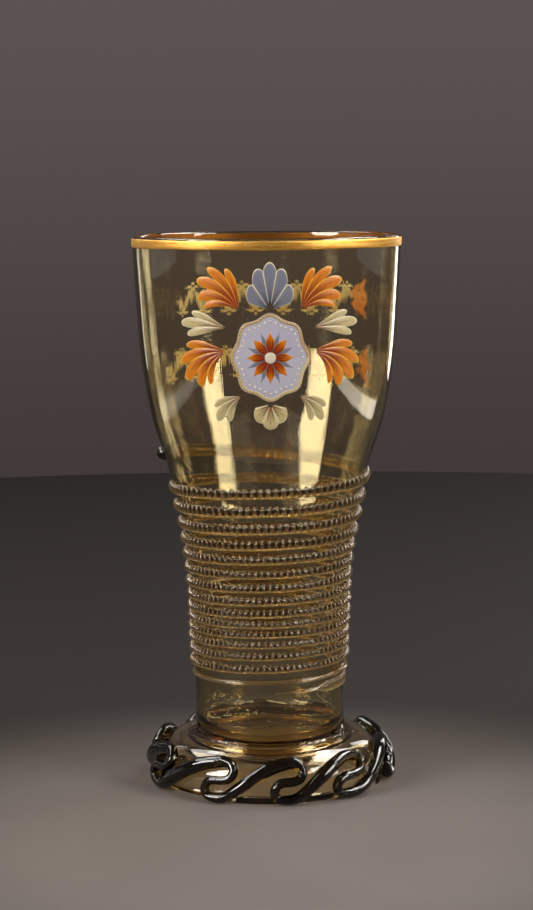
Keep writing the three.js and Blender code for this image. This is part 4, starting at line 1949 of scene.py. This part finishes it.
@dataclass
class FrontOrnament:
    """Lobed medallion with a rosette, a palmette above, a pendant below and leaves beside it."""

    sheet: Sheet
    centre: Pair = (1.0, 160.0)
    radii: Pair = (13.5, 15.0)
    lobes: int = 8
    wave: float = 0.045
    ground_net: tuple[int, int] = (128, 24)
    ground_thick: float = 0.1
    ground_fall: float = 0.12
    rope_net: tuple[int, int] = (240, 9)
    rope_inset: float = 0.75
    rope_half: float = 0.7
    rope_thick: float = 0.24
    beads: int = 36
    bead_net: tuple[int, int] = (14, 4)
    bead_ring: float = 0.815
    bead_radius: float = 0.5
    bead_thick: float = 0.3
    petal_count: int = 8
    petal_reach: float = 8.6
    petal_marks: tuple[float, ...] = (0.16, 0.45, 0.75, 1.0)
    petal_root: float = 0.25
    sepals: Petals = Petals(0.5, 1.15, 0.98, 0.14)
    petals: Petals = Petals(0.0, 1.9, 0.92, 0.22)
    boss: float = 2.3
    boss_net: tuple[int, int] = (32, 8)
    boss_thick: float = 0.45
    lobe_thick: float = 0.2
    lobe_lift: float = 0.04
    tip_lift: float = 0.05
    tip_edge: Pair = (0.9, 0.98)
    palmette: Fan = Fan(176.6, 16.6, 0.62, 5)
    pendant: Fan = Fan(143.6, -9.2, 0.82, 3)
    fan_lobing: Lobing = Lobing(22, 16, 0.16, 0.16, 0.8)
    fan_opening: Pair = (0.06, 0.94)
    fan_sides: float = 0.8
    frond_lobing: Lobing = Lobing(26, 18, 0.08, 0.3, 0.7)
    frond_sides: float = 0.62
    frond_peak: float = 1.25
    frond_blunt: float = 0.9
    frond_gather: float = 0.6
    fronds: dict[str, Frond] = field(
        default_factory=lambda: {
            "upper_leaf": Frond((10.9, 176.2), 63.0, 96.0, 20.0, 5, -58.0),
            "upper_curl": Frond((15.2, 170.2), 14.0, 58.0, 18.5, 3, -16.0),
            "lower_leaf": Frond((15.4, 162.0), -2.0, 100.0, 20.5, 5, -62.0),
            "lower_tip": Frond((10.2, 146.4), -22.0, 80.0, 13.0, 3, -46.0),
        }
    )

    def build(self, shop: Workshop) -> None:
        """Makes every piece of the front ornament.

        Args:
            shop: Where the pieces are made.
        """
        self.medallion(shop)
        self.rosette(shop)
        shop.piece("palmette", self.opened(self.palmette), GREY, ["enamel_palmette"])
        shop.piece("pendant", self.opened(self.pendant), CREAM, ["enamel_pendant"])
        finishes = {"upper_leaf": ORANGE, "lower_leaf": ORANGE}
        for kind, frond in self.fronds.items():
            for hand, mirror in (("right", 1), ("left", -1)):
                body = self.spray(frond, mirror)
                finish = finishes.get(kind, CREAM)
                shop.piece(f"{kind}_{hand}", body, finish, [f"enamel_{kind}_{hand}"])

    def spray(self, frond: Frond, mirror: int) -> Body:
        """Lobes that spread from a root and bend to one side.

        Args:
            frond: The frond.
            mirror: 1, or -1 for the other hand.

        Returns:
            The frond as a thin closed body.
        """
        out, share, lobe = self.frond_lobing.net(frond.lobes)
        peak = np.sin(np.pi * share**self.frond_peak)
        tall = self.frond_sides + (1 - self.frond_sides) * peak
        far = out * (lobe * out + self.frond_blunt * (1 - out)) * tall
        gather = self.frond_gather + (1 - self.frond_gather) * far
        angle = math.radians(frond.opening) * (0.5 - share) * gather
        along = frond.reach * far * np.cos(angle)
        across = frond.reach * far * np.sin(angle)
        curve = math.radians(frond.bend) / frond.reach
        turn = curve * along
        ahead = np.sin(turn) / curve - across * np.sin(turn)
        aside = (1 - np.cos(turn)) / curve + across * np.cos(turn)
        course = math.radians(frond.aim)
        right = frond.root[0] + ahead * math.cos(course) - aside * math.sin(course)
        z = frond.root[1] + ahead * math.sin(course) + aside * math.cos(course)
        return self.lobed(self.centre[0] + mirror * right, z, out, share, frond.lobes)

    def lobed(
        self, right: np.ndarray, z: np.ndarray, out: np.ndarray, share: np.ndarray, lobes: int
    ) -> Body:
        """Layer of enamel with each lobe swelling between its edges.

        Args:
            right: Distance to the right, as rows by columns.
            z: Height, as rows by columns.
            out: Share of the way from the root, as a column.
            share: Share of the way across, as a row.
            lobes: How many lobes there are.

        Returns:
            The closed body, its paint running out from the root and across each lobe.
        """
        place = (lobes * share) % 1
        aside = np.abs(2 * place - 1)
        aside = np.where(np.isclose(place, 0) | np.isclose(place, 1), 1.0, aside)
        rim = np.maximum(aside, smoothstep(out, *self.tip_edge))
        lift = self.lobe_lift + self.lobe_thick * (1 - rim**2) + self.tip_lift * out
        flat = np.stack(np.broadcast_arrays(out, 0.5 + 0.5 * rim), -1)
        return self.sheet.layer(right, z, lift, flat)

    def medallion(self, shop: Workshop) -> None:
        """Makes the ground, its rope border and its ring of beads.

        Args:
            shop: Where the pieces are made.
        """
        spokes, rings = self.ground_net
        shape = RoundShape(self.centre, self.radii, spokes, self.lobes, self.wave)
        ground = self.sheet.disc(shape, self.ground_thick, rings, self.ground_fall)
        shop.piece("medallion_ground", ground, WHITE, ["enamel_medallion"])
        radii = (self.radii[0] - self.rope_inset, self.radii[1] - self.rope_inset)
        spokes, rings = self.rope_net
        shape = RoundShape(self.centre, radii, spokes, self.lobes, self.wave)
        rope = self.sheet.rope(shape, self.rope_half, self.rope_thick, rings)
        shop.piece("medallion_rope", rope, ROPE)
        beads = []
        spokes, rings = self.bead_net
        for angle in even_angles(self.beads):
            swell = self.bead_ring * (1 + self.wave * math.cos(self.lobes * angle))
            place = (
                self.centre[0] + self.radii[0] * swell * math.cos(angle),
                self.centre[1] + self.radii[1] * swell * math.sin(angle),
            )
            shape = RoundShape(place, (self.bead_radius,) * 2, spokes)
            beads.append(self.sheet.disc(shape, self.bead_thick, rings))
        shop.piece("medallion_beads", Body.joined(beads), PEARL)

    def rosette(self, shop: Workshop) -> None:
        """Makes the petals, the leaves between them and the boss.

        Args:
            shop: Where the pieces are made.
        """
        shop.piece("rosette_sepals", self.star(self.sepals), GREY)
        shop.piece("rosette_petals", self.star(self.petals), ORANGE)
        spokes, rings = self.boss_net
        shape = RoundShape(self.centre, (self.boss,) * 2, spokes)
        shop.piece("rosette_boss", self.sheet.disc(shape, self.boss_thick, rings), PEARL)

    def star(self, petals: Petals) -> Body:
        """Ring of petals.

        Args:
            petals: The petals.

        Returns:
            The petals in one body.
        """
        made = []
        reach = self.petal_reach * petals.reach
        for j in range(self.petal_count):
            angle = (j + petals.turn) * 2 * math.pi / self.petal_count
            way = np.array([math.cos(angle), math.sin(angle) * self.radii[1] / self.radii[0]])
            rib = [self.centre + way * reach * mark for mark in self.petal_marks]
            made.append(self.sheet.leaf(rib, petals.half_width, petals.thick, self.petal_root))
        return Body.joined(made)

    def opened(self, fan: Fan) -> Body:
        """Fan of lobes opened from its root.

        Args:
            fan: The fan.

        Returns:
            The fan as a thin closed body.
        """
        out, share, lobe = self.fan_lobing.net(fan.lobes)
        first, last = self.fan_opening
        angle = np.pi * (first + (last - first) * share)
        tall = self.fan_sides + (1 - self.fan_sides) * np.sin(angle)
        far = abs(fan.reach) * out * lobe * tall
        right = self.centre[0] - far * fan.spread * np.cos(angle)
        z = fan.base + math.copysign(1, fan.reach) * far * np.sin(angle)
        return self.lobed(right, z, out, share, fan.lobes)


@dataclass(frozen=True)
class VineRow:
    """One row of vine: the height of its middle, its left and right ends and its waves."""

    middle: float
    start: float
    end: float
    waves: int


@dataclass
class BackVines:
    """Two rows of vine round the back, each with a flourish at its end.

    Leaves and flourishes are marks to the right and upwards: a leaf's from its
    bend of the stem, and a flourish's as a share of its height. A flourish
    stroke is its shift to the right, its height and its half width.
    """

    sheet: Sheet
    rows: dict[str, VineRow] = field(
        default_factory=lambda: {
            "upper": VineRow(175.5, -36.5, 39.5, 7),
            "lower": VineRow(150.6, -40.5, 46.5, 8),
        }
    )
    swing: float = 4.2
    first_bend: float = 0.25
    thick: float = 0.12
    stem_steps: int = 24
    stem_half: float = 0.5
    inner_half: float = 1.0
    inner_leaf: tuple[Pair, ...] = ((0, 0), (0.9, -1.8), (0.3, -3.8), (0.9, -6.2))
    outer_half: float = 0.6
    outer_leaf: tuple[Pair, ...] = ((0, 0), (1, 1), (2.3, 1), (3.6, 0))
    berry_up: float = 1.9
    berry_radius: float = 0.65
    berry_net: tuple[int, int] = (12, 3)
    berry_thick: float = 0.2
    flourish_steps: int = 12
    flourish_taper: float = 0.6
    flourish_gap: float = 5.2
    flourish_reach: float = 7.6
    flourish_thick: float = 0.14
    flourish_least: float = 0.12
    flourish_bends: tuple[Pair, ...] = (
        (-1.6, -1.0),
        (1.4, -0.5),
        (-0.6, 0.0),
        (1.8, 0.5),
        (-0.4, 1.0),
    )
    flourish_strokes: tuple[tuple[float, float, float], ...] = (
        (-1.6, 1.0, 0.95),
        (0.9, 0.78, 0.8),
        (3.0, 0.55, 0.6),
    )

    def build(self, shop: Workshop) -> None:
        """Makes both rows.

        Args:
            shop: Where the pieces are made.
        """
        for name, row in self.rows.items():
            shop.piece(f"vine_{name}", self.vine(row), BRIGHTENED_CREAM, [f"enamel_vine_{name}"])
            body = self.flourish(row)
            shop.piece(f"flourish_{name}", body, BRIGHTENED_ORANGE, [f"enamel_flourish_{name}"])

    def vine(self, row: VineRow) -> Body:
        """Wavy stem with three leaves and a berry at every bend.

        Args:
            row: The row.

        Returns:
            The stem, leaves and berries in one body.
        """
        share = np.linspace(0, 1, row.waves * self.stem_steps + 1)
        phase = 2 * np.pi * row.waves * share
        right = row.start + (row.end - row.start) * share
        line = np.stack([right, row.middle + self.swing * np.sin(phase)], -1)
        half = self.stem_half * (1 + 0.5 * np.abs(np.cos(phase)))
        made = [self.sheet.stroke(line, half, self.thick)]
        length = (row.end - row.start) / row.waves
        leaves = [(self.inner_leaf, self.inner_half, 1)]
        leaves += [(self.outer_leaf, self.outer_half, way) for way in (-1, 1)]
        spokes, rings = self.berry_net
        for i in range(2 * row.waves):
            up = 1 if i % 2 == 0 else -1
            x = row.start + length * (self.first_bend + i / 2)
            z = row.middle + up * self.swing
            for marks, half_width, way in leaves:
                rib = [(x + way * aside, z + up * rise) for aside, rise in marks]
                made.append(self.sheet.leaf(rib, half_width, self.thick))
            berry = RoundShape((x, z + up * self.berry_up), (self.berry_radius,) * 2, spokes)
            made.append(self.sheet.disc(berry, self.berry_thick, rings))
        return Body.joined(made)

    def flourish(self, row: VineRow) -> Body:
        """Orange flourish beyond the row's left end.

        Args:
            row: The row.

        Returns:
            The flourish's strokes in one body.
        """
        made = []
        for shift, tall, widest in self.flourish_strokes:
            right = row.start - self.flourish_gap + shift
            reach = self.flourish_reach * tall
            marks = [(right + x, row.middle + reach * up) for x, up in self.flourish_bends]
            line = open_curve(marks, self.flourish_steps)
            share = np.linspace(0, 1, len(line))
            taper = np.sin(np.pi * share) ** self.flourish_taper
            half = widest * taper + self.flourish_least
            made.append(self.sheet.stroke(line, half, self.flourish_thick))
        return Body.joined(made)


@dataclass(frozen=True)
class Softbox:
    """Rectangular lamp aimed at the beaker.

    Azimuth is from the front, turning to the right; sizes are in metres.
    """

    name: str
    azimuth: float
    elevation: float
    distance: float
    width: float
    height: float
    radiance: float
    reflected_only: bool = False
    seen_through: bool = True
    colour: tuple[float, float, float] = (1.0, 0.97, 0.93)

    def build(self, target: Vector) -> None:
        """Makes the lamp.

        Args:
            target: The point that it faces, in metres.
        """
        lamp = bpy.data.lights.new(self.name, "AREA")
        lamp.shape = "RECTANGLE"
        lamp.size = self.width
        lamp.size_y = self.height
        lamp.energy = self.radiance * math.pi * self.width * self.height
        lamp.color = self.colour
        made = bpy.data.objects.new(self.name, lamp)
        turn = math.radians(self.azimuth)
        rise = math.radians(self.elevation)
        way = Vector(
            (math.sin(turn) * math.cos(rise), -math.cos(turn) * math.cos(rise), math.sin(rise))
        )
        made.location = target + way * self.distance
        made.rotation_mode = "QUATERNION"
        made.rotation_quaternion = (-way).to_track_quat("-Z", "Y")
        made.visible_camera = False
        made.visible_diffuse = not self.reflected_only
        made.visible_transmission = self.seen_through
        bpy.context.scene.collection.objects.link(made)


@dataclass
class Studio:
    """Camera, lamps, table and backdrop."""

    camera_place: tuple[float, float, float] = (-0.58, -837.3, 226.05)
    pitch: float = 7.2
    roll: float = -0.44
    lens: float = 90.6
    sensor: float = 36.0
    table_rings: tuple[float, ...] = (0, 60, 200, 500, 850)
    table_edge: float = 90.0
    edge_steps: int = 16
    table_drop: float = 0.2
    lit_height: float = 0.1
    lamps: tuple[Softbox, ...] = (
        Softbox("front_left_softbox", -58, 24, 1.15, 0.51, 0.51, 10.5),
        Softbox("front_right_softbox", 60.5, 24, 1.15, 0.45, 0.51, 11.5),
        Softbox("low_left_panel", -98, 5, 1.15, 0.7, 0.28, 0.5, seen_through=False),
        Softbox("low_right_panel", 98, 5, 1.15, 0.7, 0.28, 0.5, seen_through=False),
        Softbox("high_left_strip", -108, 50, 1.15, 0.95, 0.5, 6.0, reflected_only=True),
        Softbox("high_right_strip", 108, 50, 1.15, 0.95, 0.5, 12.0, reflected_only=True),
        Softbox("rear_high_right", 133, 53, 1.15, 0.25, 0.12, 16.0),
        Softbox("rear_high_left", -133, 53, 1.15, 0.25, 0.12, 7.0),
        Softbox("rear_right_strip", 148, 12, 1.3, 0.16, 0.9, 5.0),
        Softbox("rear_left_strip", -142, 12, 1.3, 0.05, 0.9, 2.5),
        Softbox("right_card", 95, -12, 0.395, 0.45, 0.026, 3.4, reflected_only=True),
        Softbox("left_card", -95, -12, 0.395, 0.45, 0.026, 1.0, reflected_only=True),
        Softbox("left_glint", -58, 24, 1.14, 0.51, 0.51, 8.5, reflected_only=True),
        Softbox("right_glint", 60.5, 24, 1.14, 0.45, 0.51, 5.5, reflected_only=True),
    )
    fill: Colour = (0.13, 0.13, 0.13, 1.0)
    backdrop: Colour = srgb(92, 84, 82)
    painted_backdrop_shade: Colour = srgb(66, 58, 57)
    backdrop_shade_blur: Pair = (-0.15, 0.1)

    def camera(self) -> None:
        """Makes the camera and gives it to the scene."""
        data = bpy.data.cameras.new("camera")
        data.lens = self.lens
        data.sensor_width = self.sensor
        made = bpy.data.objects.new("camera", data)
        made.location = Vector(self.camera_place) * MM
        tilt = Matrix.Rotation(math.radians(90 - self.pitch), 3, "X")
        made.rotation_euler = (tilt @ Matrix.Rotation(math.radians(self.roll), 3, "Z")).to_euler()
        bpy.context.scene.collection.objects.link(made)
        bpy.context.scene.camera = made

    def table(self, shop: Workshop) -> None:
        """Makes the round table with its edge rolled down.

        Args:
            shop: Where it is made.
        """
        top = [[r, 0] for r in self.table_rings]
        edge = self.table_edge
        roll = arc((self.table_rings[-1], -edge), (edge, edge), np.pi / 2, 0, self.edge_steps)[1:]
        rows = np.vstack([top, roll, [[0, -edge]]]) - [0, self.table_drop]
        shop.mesh_object("table", turned(rows, 128), TABLE)

    def world(self) -> None:
        """Lights the world evenly and shows it as a backdrop, with painted shade darkening it
        towards and below the horizon.
        """
        world = bpy.data.worlds.new("studio")
        world.use_nodes = True
        world.node_tree.nodes.clear()
        graph = Graph(world.node_tree)
        rise = graph.split(graph.add("ShaderNodeTexCoord").outputs["Generated"])["Z"]
        # Painted shade: the backdrop darkens towards and below the horizon.
        share = graph.ease(rise, *self.backdrop_shade_blur)
        colour = graph.blend(share, self.painted_backdrop_shade, self.backdrop)
        seen = graph.add("ShaderNodeBackground", Color=colour)
        even = graph.add("ShaderNodeBackground", Color=self.fill)
        ray = graph.add("ShaderNodeLightPath").outputs
        direct = graph.math("ADD", ray["Is Camera Ray"], ray["Is Glossy Ray"])
        direct = graph.math("ADD", direct, ray["Is Transmission Ray"], clamp=True)
        graph.add("ShaderNodeOutputWorld", Surface=graph.mix_shaders(direct, even, seen))
        bpy.context.scene.world = world

    def build(self, shop: Workshop) -> None:
        """Makes the table, the lamps and the world.

        Args:
            shop: Where the table is made.
        """
        self.table(shop)
        for lamp in self.lamps:
            lamp.build(Vector((0, 0, self.lit_height)))
        self.world()
        bpy.context.scene.view_settings.view_transform = "Standard"


def main() -> None:
    """Builds the studio and every piece of the beaker."""
    logging.basicConfig(level=logging.INFO, format="%(message)s")
    studio = Studio()
    studio.camera()
    shop = Workshop()
    wall = Wall()
    shape = FootShape()
    Cup(wall).build(shop)
    Foot(shape).build(shop)
    MilledThread(wall).build(shop)
    ScrollTrail(shape).build(shop)
    GiltBand(wall).build(shop)
    FrontOrnament(Sheet(wall, Side.FRONT)).build(shop)
    BackVines(Sheet(wall, Side.BACK)).build(shop)
    studio.build(shop)


if __name__ == "__main__":
    main()
